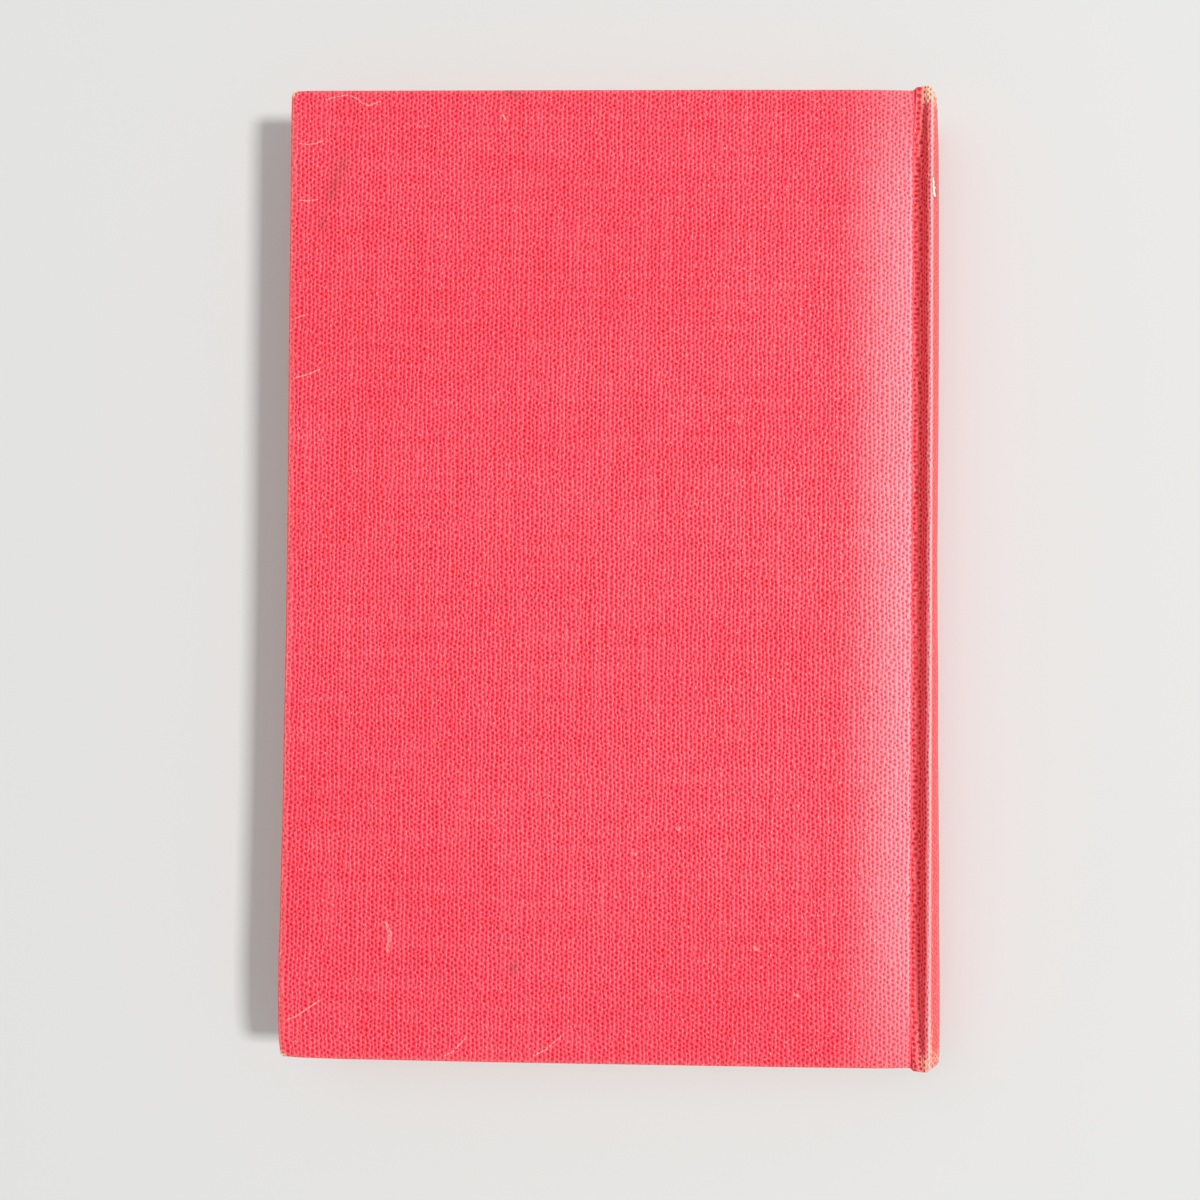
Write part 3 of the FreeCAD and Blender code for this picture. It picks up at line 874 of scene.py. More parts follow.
def spine_place(angle, y, lift):
    """A point over the spine: angle 0 is its middle and SPINE_TURN the ridge of the back cover."""
    radius = SPINE_RADIUS + lift
    return Vector((SPINE_CENTRE[0] + radius * math.cos(angle), y, MIDDLE + radius * math.sin(angle)))


def make_frays(name, material, end, count, seed):
    """Short broken threads along the rubbed cap of the spine."""
    random.seed(seed)
    verts = []
    faces = []
    for _ in range(count):
        angle = random.uniform(0.15, SPINE_TURN + 0.02)
        y = end * (SPINE_HALF - random.uniform(1.05, 3.4))
        heading = random.choice((0, math.pi / 2)) + random.gauss(0, 0.3)
        length = random.uniform(0.3, 0.8)
        points = []
        for index in range(7):
            t = index / 6 - 0.5
            lift = 0.08 * (1 - 4 * t * t) - 0.01
            step_y = y + length * t * math.sin(heading)
            step_angle = angle + length * t * math.cos(heading) / SPINE_RADIUS
            point = spine_place(step_angle, step_y, lift)
            point.x += sway(SPINE_SWAY, step_y) * smooth(RIDGE_X, SPINE_X, point.x)
            points.append(point)
        new_verts, new_faces = tube(points, random.uniform(0.035, 0.06))
        offset = len(verts)
        verts += [vert * MM for vert in new_verts]
        faces += [tuple(offset + index for index in face) for face in new_faces]
    mesh = bpy.data.meshes.new(name)
    mesh.from_pydata(verts, [], faces)
    sharpen(mesh)
    return new_piece(name, mesh, material, "block")


# Materials

class Nodes:
    """A short way to write a shader: each call adds a node and returns its output."""

    def __init__(self, name):
        self.material = bpy.data.materials.new(name)
        self.material.use_nodes = True
        self.tree = self.material.node_tree
        self.shader = self.tree.nodes["Principled BSDF"]

    def put(self, socket, value):
        if isinstance(value, bpy.types.NodeSocket):
            self.tree.links.new(value, socket)
        elif isinstance(value, (tuple, list)) and len(value) == 3 and len(socket.default_value) == 4:
            socket.default_value = (*value, 1)
        else:
            socket.default_value = value

    def node(self, kind, inputs=None, **settings):
        node = self.tree.nodes.new(kind)
        for key, value in settings.items():
            setattr(node, key, value)
        for key, value in (inputs or {}).items():
            self.put(node.inputs[key], value)
        return node

    def math(self, operation, a, b=0.0, c=0.0, clamp=False):
        node = self.node("ShaderNodeMath", {0: a, 1: b, 2: c}, operation=operation, use_clamp=clamp)
        return node.outputs[0]

    def vector(self, operation, a, b=(0, 0, 0), scale=None):
        node = self.node("ShaderNodeVectorMath", {0: a, 1: b}, operation=operation)
        if scale is not None:
            self.put(node.inputs["Scale"], scale)
        return node.outputs["Value" if operation in ("LENGTH", "DISTANCE", "DOT_PRODUCT") else "Vector"]

    def ramp(self, value, low, high, to_low=0.0, to_high=1.0):
        """An even ease from to_low to to_high as value goes from low to high."""
        node = self.node(
            "ShaderNodeMapRange",
            {"Value": value, "From Min": low, "From Max": high, "To Min": to_low, "To Max": to_high},
            interpolation_type="SMOOTHSTEP")
        return node.outputs["Result"]

    def mix(self, share, a, b, blend="MIX"):
        node = self.node("ShaderNodeMix", data_type="RGBA", blend_type=blend)
        self.put(node.inputs["Factor"], share)
        self.put(node.inputs[6], a)
        self.put(node.inputs[7], b)
        return node.outputs[2]

    def flat_noise(self, vector, scale, detail=2.0, rough=0.5):
        return self.noise(vector, scale, detail, rough, "2D")

    def noise(self, vector, scale, detail=2.0, rough=0.5, dimensions="3D"):
        node = self.node(
            "ShaderNodeTexNoise",
            {"Vector": vector, "Scale": scale, "Detail": detail, "Roughness": rough},
            noise_dimensions=dimensions)
        return node.outputs["Fac"]

    def attribute(self, name, output="Vector"):
        return self.node("ShaderNodeAttribute", attribute_name=name).outputs[output]

    def scaled(self, vector, factors):
        return self.vector("MULTIPLY", vector, factors)

    def split(self, vector):
        node = self.node("ShaderNodeSeparateXYZ", {"Vector": vector})
        return node.outputs["X"], node.outputs["Y"], node.outputs["Z"]

    def join(self, x, y, z=0.0):
        return self.node("ShaderNodeCombineXYZ", {"X": x, "Y": y, "Z": z}).outputs["Vector"]

    def bump(self, height, distance, strength=1.0, normal=None):
        inputs = {"Height": height, "Distance": distance, "Strength": strength}
        if normal is not None:
            inputs["Normal"] = normal
        return self.node("ShaderNodeBump", inputs).outputs["Normal"]

    def finish(self, color, roughness, normal=None, specular=0.5, sheen=0.0, sheen_tint=(1, 1, 1), sheen_rough=0.5):
        self.put(self.shader.inputs["Base Color"], color)
        self.put(self.shader.inputs["Roughness"], roughness)
        self.shader.inputs["Specular IOR Level"].default_value = specular
        self.shader.inputs["Sheen Weight"].default_value = sheen
        self.shader.inputs["Sheen Roughness"].default_value = sheen_rough
        self.shader.inputs["Sheen Tint"].default_value = (*sheen_tint, 1)
        if normal is not None:
            self.put(self.shader.inputs["Normal"], normal)
        return self.material


def srgb(red, green, blue):
    """A colour given as it looks on screen, 0 to 255."""
    def linear(value):
        value /= 255
        return value / 12.92 if value <= 0.04045 else ((value + 0.055) / 1.055) ** 2.4
    return (linear(red), linear(green), linear(blue))


# The weave: small holes in staggered columns between meandering lengthwise threads

COLUMN_PITCH = 0.82
ROW_PITCH = 1.007

# Wear on the back cover, in millimetres from the middle of the cover: lines rubbed pale by knocks
SCRATCHES = (
    ((-57.5, 93.0), (-55.2, 93.6), (-53.2, 93.9), (-51.6, 93.3), (-50.2, 92.2), (-49.0, 91.8), (-46.9, 92.6)),
    ((-62.7, 84.4), (-61.2, 84.1), (-59.5, 84.3), (-58.0, 84.8)),
    ((-62.6, 73.1), (-60.7, 73.0), (-58.9, 73.3)),
    ((-62.9, 49.8), (-60.7, 50.6)),
    ((-63.1, 38.0), (-60.7, 38.6), (-58.2, 39.7)),
    ((-23.0, 90.6), (-22.0, 88.8)),
    ((-62.8, -87.6), (-60.7, -86.8), (-58.8, -85.4), (-56.4, -83.7)),
    ((-32.3, -93.9), (-30.4, -92.8), (-27.8, -89.9)),
    ((-14.8, -93.4), (-12.4, -92.2), (-9.6, -89.6)),
)
SCUFFS = (
    ((-43.7, -68.5), (-42.9, -70.6), 0.5), ((-42.9, -70.6), (-43.4, -73.8), 0.5),
    ((4.1, -54.3), (4.6, -54.5), 0.5), ((12.8, -49.4), (13.1, -49.7), 0.5),
    ((27.8, -72.1), (28.4, -72.5), 0.5), ((35.6, -81.0), (36.3, -81.2), 0.5),
    ((-33.6, 65.7), (-33.5, 65.9), 0.25),
)
SMUDGES = (
    ((-21.8, 94.4), (-19.7, 93.6), 1.1, 0.55),
    ((-54.0, 80.5), (-56.6, 74.0), 2.4, 0.5),
    ((-57.6, 69.5), (-58.3, 67.8), 1.1, 0.55),
    ((-19.0, -76.7), (-18.6, -76.5), 1.5, 0.75),
    ((22.3, -54.5), (22.4, -54.5), 0.35, 0.8),
    ((58.9, 80.5), (59.5, 73.5), 0.8, 0.4),
)
CHIP = ((61.6, 77.3), (62.0, 74.4))
MARK_REACH = 3.5


def near_mark(x, y):
    """Whether a place on the back cover is close enough to a mark to need the marked material."""
    segments = [CHIP]
    for curve in SCRATCHES:
        segments += list(zip(curve, curve[1:]))
    segments += [entry[:2] for entry in SCUFFS + SMUDGES]
    for start, end in segments:
        ax, ay = start
        dx, dy = end[0] - ax, end[1] - ay
        share = ((x - ax) * dx + (y - ay) * dy) / (dx * dx + dy * dy)
        share = min(1.0, max(0.0, share))
        if math.hypot(x - ax - dx * share, y - ay - dy * share) < MARK_REACH:
            return True
    return False


def segment_distance(n, place_2d, start, end):
    """Distance on the surface from a short line, in millimetres."""
    ax, ay = start
    dx, dy = end[0] - ax, end[1] - ay
    squared = dx * dx + dy * dy
    relative = n.vector("SUBTRACT", place_2d, (ax, ay, 0))
    along = n.vector("DOT_PRODUCT", relative, (dx / squared, dy / squared, 0))
    share = n.math("MULTIPLY", along, 1.0, clamp=True)
    nearest = n.node("ShaderNodeVectorMath", {0: (dx, dy, 0), "Scale": share}, operation="SCALE")
    return n.vector("DISTANCE", relative, nearest.outputs["Vector"])


def union(n, masks):
    result = masks[0]
    for mask in masks[1:]:
        result = n.math("MAXIMUM", result, mask)
    return result


def cloth_material(name, marks):
    """Red book cloth with its weave, rubbed edges and, on the back cover, its scratches and stains."""
    n = Nodes(name)
    cloth = n.attribute("cloth")
    rest = n.attribute("rest")
    u, v, _ = n.split(cloth)
    x, y, depth = n.split(rest)
    y_size = n.math("ABSOLUTE", y)

    def centred(value, size):
        return n.math("MULTIPLY", n.math("SUBTRACT", value, 0.5), size)

    # Threads wander a little, so the columns aren't ruled lines
    slow_u = centred(n.flat_noise(n.scaled(cloth, (0.4, 0.13, 1)), 1.0, 1), 0.6)
    slow_v = centred(n.flat_noise(n.scaled(cloth, (0.16, 0.3, 1)), 1.0, 1), 0.8)
    quick_u = centred(n.flat_noise(n.scaled(cloth, (1.1, 0.8, 1)), 1.0, 0), 0.3)
    woven_u = n.math("ADD", n.math("ADD", u, slow_u), quick_u)
    woven_v = n.math("ADD", v, slow_v)

    def hole_distance(shift):
        """Distance to the nearest hole of one set of columns."""
        cell = n.join(
            n.math("ADD", n.math("DIVIDE", woven_u, 2 * COLUMN_PITCH), shift),
            n.math("ADD", n.math("DIVIDE", woven_v, ROW_PITCH), shift))
        voronoi = n.node(
            "ShaderNodeTexVoronoi", {"Vector": cell, "Scale": 1.0, "Randomness": 0.2},
            voronoi_dimensions="2D", feature="F1")
        away = n.vector("SUBTRACT", cell, voronoi.outputs["Position"])
        flattened = n.scaled(away, (2 * COLUMN_PITCH, ROW_PITCH * 0.8, 0))
        return n.vector("LENGTH", flattened), n.split(voronoi.outputs["Color"])[0]

    first, first_tone = hole_distance(0.0)
    second, second_tone = hole_distance(0.5)
    nearest = n.math("MINIMUM", first, second)
    gap = n.math("SUBTRACT", n.math("MAXIMUM", first, second), nearest)
    fibre = n.flat_noise(n.scaled(cloth, (8, 2.6, 1)), 1.0, 2, 0.65)
    fuzz = n.flat_noise(cloth, 5.0, 2, 0.7)
    patch = n.flat_noise(cloth, 0.14, 3, 0.6)
    tone = n.mix(n.math("LESS_THAN", first, second), n.join(second_tone, 0, 0), n.join(first_tone, 0, 0))
    hole_tone = n.ramp(n.split(tone)[0], 0.0, 1.0, 0.7, 1.0)
    ragged = n.math("ADD", nearest, centred(fuzz, 0.4))
    hole = n.ramp(ragged, 0.08, 0.29, 1.0, 0.0)
    hole = n.math("MULTIPLY", hole, hole_tone)
    hole = n.math("MULTIPLY", hole, n.ramp(patch, 0.3, 0.65, 0.7, 1.0))
    net = n.ramp(ragged, 0.17, 0.38)
    beside = n.ramp(gap, 0.06, 0.5, 1.0, 0.3)
    between = n.math("PINGPONG", n.math("DIVIDE", woven_u, COLUMN_PITCH), 0.5)
    lengthwise = n.ramp(between, 0.16, 0.46)
    thread = n.math("MULTIPLY", n.math("MULTIPLY", net, beside), n.math("MULTIPLY_ADD", lengthwise, 0.45, 0.55))
    thread = n.math("MULTIPLY", thread, n.ramp(fibre, 0.34, 0.64, 0.35, 1.0))
    thread = n.math("MULTIPLY", thread, n.ramp(patch, 0.35, 0.75, 1.0, 0.8))

    # The holes are painted deep red, partly the cloth's own colour and partly painted shade in the hollows; the pale
    # pink of the raised threads is partly painted highlight on their tops
    deep = srgb(212, 0, 24)
    body = srgb(255, 8, 56)
    raised = srgb(255, 132, 148)
    color = n.mix(n.ramp(fibre, 0.35, 0.8, 0.0, 0.36), body, raised)
    color = n.mix(hole, color, deep)
    color = n.mix(n.math("MULTIPLY", thread, 0.92), color, raised)
    warp_streak = n.flat_noise(n.scaled(cloth, (1.2, 0.025, 1)), 1.0, 2, 0.6)
    weft_streak = n.flat_noise(n.scaled(cloth, (0.03, 0.9, 1)), 1.0, 2, 0.6)
    streak = n.math("ADD", n.math("MULTIPLY", warp_streak, 0.6), n.math("MULTIPLY", weft_streak, 0.4))
    color = n.mix(n.ramp(streak, 0.5, 0.68, 0.0, 0.2), color, srgb(255, 122, 136))
    color = n.mix(n.ramp(streak, 0.5, 0.34, 0.0, 0.2), color, srgb(232, 8, 42))
    shade = n.flat_noise(n.scaled(cloth, (0.02, 0.03, 1)), 1.0, 2, 0.55)
    color = n.mix(n.ramp(shade, 0.35, 0.7, 0.0, 0.14), color, srgb(234, 12, 46))

    # Paler cloth beside the joint, on the board's edge and along the ridge: partly rubbed by handling, partly
    # painted sheen and painted highlight. In the groove between them, painted shade, with paler thread tops and
    # darker holes.
    # Painted sheen beside the joint over some real rubbing, weaker towards head and tail
    polish_and_sheen = n.math("MULTIPLY", n.ramp(x, JOINT_X - 16, JOINT_X - 1), n.ramp(x, JOINT_X - 0.6, JOINT_X, 1.0, 0.0))
    polish_and_sheen = n.math("MULTIPLY", polish_and_sheen, n.ramp(y_size, 70, 96, 1.0, 0.55))
    # Painted highlight along the ridge of the spine, partly real rubbing
    on_ridge = n.ramp(n.math("ABSOLUTE", n.math("SUBTRACT", x, RIDGE_X + 0.15)), 0.2, 0.8, 1.0, 0.0)
    on_ridge = n.math("MULTIPLY", on_ridge, n.ramp(net, 0.1, 0.8, 0.55, 0.75))
    # Painted highlight along the board's rounded edge at the joint, partly real rubbing
    board_edge = n.ramp(n.math("ABSOLUTE", n.math("SUBTRACT", x, JOINT_X - 0.75)), 0.1, 0.8, 1.0, 0.0)
    board_edge = n.math("MULTIPLY", board_edge, n.ramp(y_size, 76, 92, 0.85, 0.25))
    board_edge = n.math("MULTIPLY", board_edge, n.ramp(net, 0.1, 0.8, 0.5, 1.0))
    # Rubbing, painted sheen and painted highlights together, paler on threads than in holes
    rubbed_and_painted_light = n.math("MAXIMUM", n.math("MULTIPLY", polish_and_sheen, 0.6), board_edge)
    rubbed_and_painted_light = n.math("MULTIPLY", rubbed_and_painted_light, n.ramp(n.math("ADD", fibre, thread), 0.3, 1.1, 0.45, 1.0))
    rubbed_and_painted_light = n.math("MULTIPLY", rubbed_and_painted_light, n.ramp(hole, 0.0, 0.8, 1.0, 0.45))
    rubbed_and_painted_light = n.math("MAXIMUM", rubbed_and_painted_light, on_ridge)
    color = n.mix(rubbed_and_painted_light, color, n.mix(on_ridge, srgb(255, 186, 198), srgb(255, 216, 212)))
    # Painted shade in the groove: darker cloth and holes, with paler thread tops as if they caught the light
    painted_groove_shading = n.ramp(n.math("ABSOLUTE", n.math("SUBTRACT", x, FOOT_X + 1.15)), 0.8, 1.4, 1.0, 0.0)
    color = n.mix(n.math("MULTIPLY", painted_groove_shading, 0.3), color, srgb(206, 84, 84))
    color = n.mix(n.math("MULTIPLY", n.math("MULTIPLY", painted_groove_shading, thread), 0.6), color, srgb(255, 150, 146))
    color = n.mix(n.math("MULTIPLY", n.math("MULTIPLY", painted_groove_shading, hole), 0.7), color, srgb(150, 0, 12))
    # The spine beyond the ridge is tinted towards orange: partly real fading, partly painted light, strongest
    # towards the back cover
    faded_and_painted_light = n.math("MULTIPLY", n.ramp(x, RIDGE_X + 0.4, RIDGE_X + 1.2), n.ramp(depth, 3.4, 5.2, 1.0, 0.5))
    color = n.mix(n.math("MULTIPLY", faded_and_painted_light, 0.5), color, srgb(226, 100, 88))

    # Edges: rubbed pale along the folds, cream where the corners and caps are worn through
    cream = srgb(255, 232, 192)
    fold_line = COVER_HALF - 0.5 * EDGE_RADIUS
    past_edge = n.math("SUBTRACT", n.math("ABSOLUTE", v), fold_line)
    end_edge = n.ramp(n.math("ABSOLUTE", past_edge), 0.05, 0.8, 1.0, 0.0)
    fore_edge = n.ramp(n.math("ABSOLUTE", n.math("SUBTRACT", x, FORE_X + 0.4)), 0.1, 1.1, 1.0, 0.0)
    edge = n.math("MAXIMUM", n.math("MULTIPLY", end_edge, 0.7), fore_edge)
    edge = n.math("MULTIPLY", edge, n.ramp(x, JOINT_X - 1, JOINT_X, 1.0, 0.0))
    edge_break = n.ramp(n.flat_noise(cloth, 1.4, 2, 0.7), 0.3, 0.7, 0.15, 1.0)
    color = n.mix(n.math("MULTIPLY", edge, n.math("MULTIPLY", edge_break, 0.6)), color, srgb(255, 140, 134))
    corner_x = n.math("SUBTRACT", x, FORE_X)
    corner_y = n.math("SUBTRACT", y_size, COVER_HALF)
    corner_distance = n.vector("LENGTH", n.join(corner_x, corner_y))
    corner = n.ramp(n.math("ADD", corner_distance, n.math("MULTIPLY", fuzz, 1.6)), 1.7, 2.6, 1.0, 0.0)
    corner = n.math("MULTIPLY", corner, n.ramp(depth, 1.0, 2.0, 1.0, 0.35))
    past_cap = n.math("SUBTRACT", n.math("ABSOLUTE", v), SPINE_HALF)
    cap_noise = centred(n.flat_noise(n.scaled(cloth, (1.2, 0.9, 1)), 1.0, 3, 0.75), 4.4)
    cap = n.ramp(n.math("ADD", past_cap, cap_noise), -3.9, -2.2)
    cap = n.math("MULTIPLY", cap, n.ramp(past_cap, 0.9, 2.0, 1.0, 0.2))
    cap = n.math("MULTIPLY", cap, n.ramp(x, FOOT_X + 0.3, FOOT_X + 1.8))
    cap = n.math("MULTIPLY", cap, n.ramp(v, -1, 1, 0.4, 1.0))
    ridge = n.ramp(n.math("ABSOLUTE", n.math("SUBTRACT", x, RIDGE_X + 0.5)), 0.1, 1.1, 1.0, 0.0)
    ridge = n.math("MULTIPLY", ridge, n.ramp(n.math("ABSOLUTE", v), 80, 93, 0.12, 0.9))
    ridge_break = n.ramp(n.flat_noise(n.scaled(cloth, (2.4, 1.0, 1)), 1.0, 3, 0.75), 0.42, 0.62)
    ridge = n.math("MULTIPLY", ridge, ridge_break)
    bare = n.math("MAXIMUM", corner, n.math("MAXIMUM", cap, ridge), clamp=True)

    smear = None
    if marks:
        place_2d = n.join(x, y)
        bend = centred(n.noise(rest, 0.7, 2), 0.5)
        jitter = centred(n.noise(rest, 4.0, 2), 0.22)
        outer_face = n.ramp(depth, 0.5, 1.5, 1.0, 0.0)
        lines = []
        for curve in SCRATCHES:
            for start, end in zip(curve, curve[1:]):
                distance = n.math("ADD", n.math("ADD", segment_distance(n, place_2d, start, end), jitter), 0.05)
                lines.append(n.ramp(distance, 0.04, 0.24, 1.0, 0.0))
        broken = n.ramp(n.math("ADD", fibre, n.math("MULTIPLY", thread, 0.3)), 0.4, 0.7, 0.14, 1.0)
        scratch = n.math("MULTIPLY", n.math("MULTIPLY", union(n, lines), broken), outer_face)
        color = n.mix(n.math("MULTIPLY", scratch, 0.95), color, srgb(255, 204, 196))
        rubs = []
        for start, end, reach in SCUFFS:
            distance = n.math("ADD", n.math("ADD", segment_distance(n, place_2d, start, end), jitter), bend)
            rubs.append(n.ramp(distance, 0.1, reach, 1.0, 0.0))
        scuff = n.math("MULTIPLY", union(n, rubs), broken)
        color = n.mix(n.math("MULTIPLY", scuff, 0.8), color, srgb(255, 180, 170))
        stains = []
        for start, end, reach, strength in SMUDGES:
            distance = n.math("ADD", segment_distance(n, place_2d, start, end), n.math("MULTIPLY", bend, 1.6))
            stains.append(n.ramp(distance, 0.1, reach, strength, 0.0))
        smear = n.math("MULTIPLY", union(n, stains), outer_face)
        smear = n.math("MULTIPLY", smear, n.ramp(hole, 0.0, 0.7, 0.5, 1.0))
        chip_distance = segment_distance(n, place_2d, *CHIP)
        chip_edge = n.math("ADD", chip_distance, centred(n.noise(rest, 1.3, 3, 0.7), 1.6))
        chip = n.math("MULTIPLY", n.ramp(chip_edge, 0.35, 0.5, 1.0, 0.0), n.ramp(fuzz, 0.3, 0.42, 0.2, 1.0))
        chip_rim = n.math("MULTIPLY", n.ramp(chip_edge, 0.6, 0.85, 0.9, 0.0), n.ramp(fuzz, 0.4, 0.55, 0.2, 1.0))

    knots = n.ramp(n.flat_noise(n.scaled(cloth, (3.2, 2.0, 1)), 1.0, 1, 0.6), 0.62, 0.74)
    color = n.mix(n.math("MULTIPLY", n.math("MULTIPLY", knots, net), 0.45), color, srgb(255, 178, 160))
    # Pale flecks on the threads: partly cream fibres, partly painted glints, more of them towards the joint
    fleck_cell = n.node(
        "ShaderNodeTexVoronoi", {"Vector": n.scaled(cloth, (1.0, 0.55, 1)), "Scale": 1.0, "Randomness": 1.0},
        voronoi_dimensions="2D", feature="F1")
    fleck_pick = n.ramp(n.split(fleck_cell.outputs["Color"])[0], 0.62, 0.95, 0.0, 0.9)
    fleck_pick = n.math("MULTIPLY", fleck_pick, n.ramp(x, JOINT_X - 60, JOINT_X - 4, 0.6, 1.0))
    fleck_edge = n.math("ADD", fleck_cell.outputs["Distance"], centred(fuzz, 0.3))
    fleck = n.math("MULTIPLY", n.ramp(fleck_edge, 0.03, 0.13, 1.0, 0.0), fleck_pick)
    color = n.mix(fleck, color, srgb(255, 206, 192))

    thread_cream = n.mix(n.ramp(fuzz, 0.3, 0.52), srgb(240, 130, 108), cream)
    bare_share = n.math("MULTIPLY", bare, n.ramp(net, 0.2, 0.8, 0.1, 1.0))
    color = n.mix(bare_share, color, thread_cream)
    if marks:
        color = n.mix(chip_rim, color, srgb(86, 40, 30))
        color = n.mix(chip, color, srgb(255, 246, 226))
    if smear is not None:
        color = n.mix(n.math("MULTIPLY", smear, n.ramp(fuzz, 0.3, 0.6, 0.55, 1.0)), color, srgb(120, 62, 48))

    height = n.math("ADD", n.ramp(nearest, 0.1, 0.36), n.math("MULTIPLY", lengthwise, 0.4))
    height = n.math("ADD", height, n.math("MULTIPLY", fibre, 0.45))
    normal = n.bump(height, 0.08 * MM, 1.0)
    roughness = n.math("SUBTRACT", n.ramp(hole, 0.0, 1.0, 0.4, 0.8), n.math("MULTIPLY", rubbed_and_painted_light, 0.08))
    return n.finish(color, roughness, normal, specular=0.27, sheen=0.05, sheen_tint=(1.0, 0.8, 0.8), sheen_rough=0.4)


def paper_material(name, base, dark, fibres=1.0):
    """Uncoated paper with faint fibres, mottling and a few fox marks."""
    n = Nodes(name)
    place_mm = n.scaled(n.node("ShaderNodeTexCoord").outputs["Object"], (1000, 1000, 1000))
    cloudy = n.noise(place_mm, 0.03, 3, 0.5)
    grain = n.noise(n.scaled(place_mm, (1, 2.5, 2.5)), 2.6, 4, 0.7)
    color = n.mix(n.ramp(cloudy, 0.3, 0.8, 0.0, 0.28), base, dark)
    color = n.mix(n.ramp(grain, 0.45, 0.8, 0.0, 0.18 * fibres), color, dark)
    spots = n.node(
        "ShaderNodeTexVoronoi", {"Vector": place_mm, "Scale": 0.12, "Randomness": 1.0}, feature="F1")
    picked = n.math("GREATER_THAN", n.split(spots.outputs["Color"])[1], 0.7)
    spot = n.math("MULTIPLY", n.ramp(spots.outputs["Distance"], 0.02, 0.09, 0.4, 0.0), picked)
    color = n.mix(spot, color, srgb(176, 128, 84))
    height = n.math("ADD", n.math("MULTIPLY", grain, 0.7), n.math("MULTIPLY", cloudy, 0.6))
    normal = n.bump(height, 0.03 * MM, 0.5)
    return n.finish(color, 0.85, normal, specular=0.25)


def pages_material():
    """Page edges: cream, darker and browner towards the covers, each leaf a shade of its own."""
    n = Nodes("page_edges")
    place_mm = n.scaled(n.node("ShaderNodeTexCoord").outputs["Object"], (1000, 1000, 1000))
    leaf = n.attribute("leaf", "Fac")
    along = n.noise(n.scaled(place_mm, (0.25, 0.25, 9)), 1.0, 3, 0.6)
    cloudy = n.noise(place_mm, 0.09, 3, 0.6)
    color = n.mix(n.ramp(leaf, 0.0, 1.0, 0.0, 0.6), srgb(246, 238, 218), srgb(222, 208, 176))
    color = n.mix(n.ramp(along, 0.4, 0.75, 0.0, 0.45), color, srgb(202, 180, 144))
    color = n.mix(n.ramp(cloudy, 0.4, 0.8, 0.0, 0.3), color, srgb(214, 194, 158))
    _, y, z = n.split(place_mm)
    # Darker towards the covers
    darker_near_covers = n.ramp(n.math("ABSOLUTE", n.math("SUBTRACT", z, MIDDLE)), 2.0, 4.2, 0.0, 0.25)
    color = n.mix(darker_near_covers, color, srgb(176, 150, 116))
    normal = n.bump(along, 0.05 * MM, 0.6)
    return n.finish(color, 0.88, normal, specular=0.2)


def board_material():
    """Greyboard: recycled pulp with dark and pale flecks."""
    n = Nodes("greyboard")
    place_mm = n.scaled(n.node("ShaderNodeTexCoord").outputs["Object"], (1000, 1000, 1000))
    pulp = n.noise(n.scaled(place_mm, (1, 1, 3)), 1.4, 5, 0.7)
    fleck = n.noise(place_mm, 3.5, 2, 0.8)
    color = n.mix(n.ramp(pulp, 0.3, 0.7), srgb(150, 146, 138), srgb(182, 176, 164))
    color = n.mix(n.ramp(fleck, 0.62, 0.72, 0.0, 0.6), color, srgb(96, 92, 88))
    return n.finish(color, 0.92, n.bump(pulp, 0.06 * MM, 0.6), specular=0.2)


def woven_material(name, base, dark, pitch, strength=0.8):
    """A plain weave of fine threads, for gauze and bands."""
    n = Nodes(name)
    place_mm = n.scaled(n.node("ShaderNodeTexCoord").outputs["Object"], (1000, 1000, 1000))
    bend = n.math("MULTIPLY", n.noise(place_mm, 1.0, 2), 0.4)
    x, y, z = n.split(place_mm)
    turn = 2 * math.pi / pitch
    warp = n.math("SINE", n.math("MULTIPLY", n.math("ADD", n.math("ADD", x, z), bend), turn))
    weft = n.math("SINE", n.math("MULTIPLY", n.math("ADD", y, bend), turn))
    weave = n.math("MAXIMUM", warp, weft)
    grain = n.noise(place_mm, 6, 3, 0.7)
    color = n.mix(n.ramp(weave, 0.1, 0.9), dark, base)
    color = n.mix(n.ramp(grain, 0.4, 0.8, 0.0, 0.3), color, dark)
    return n.finish(color, 0.85, n.bump(weave, 0.08 * MM, strength), specular=0.25, sheen=0.1)


def card_material(name, base, dark):
    """Brown card or kraft paper with lengthwise fibres."""
    n = Nodes(name)
    place_mm = n.scaled(n.node("ShaderNodeTexCoord").outputs["Object"], (1000, 1000, 1000))
    fibre = n.noise(n.scaled(place_mm, (2.5, 0.5, 2.5)), 1.0, 5, 0.7)
    color = n.mix(n.ramp(fibre, 0.3, 0.7), dark, base)
    return n.finish(color, 0.88, n.bump(fibre, 0.04 * MM, 0.6), specular=0.25)


def fray_material():
    """Bare cotton thread with some red size still on it."""
    n = Nodes("bare_thread")
    place_mm = n.scaled(n.node("ShaderNodeTexCoord").outputs["Object"], (1000, 1000, 1000))
    patch = n.noise(place_mm, 1.1, 3, 0.6)
    color = n.mix(n.ramp(patch, 0.4, 0.62), srgb(255, 232, 190), srgb(244, 120, 100))
    fibre = n.noise(place_mm, 14, 2, 0.6)
    return n.finish(color, 0.8, n.bump(fibre, 0.02 * MM, 0.6), specular=0.2, sheen=0.2)


# Build the book

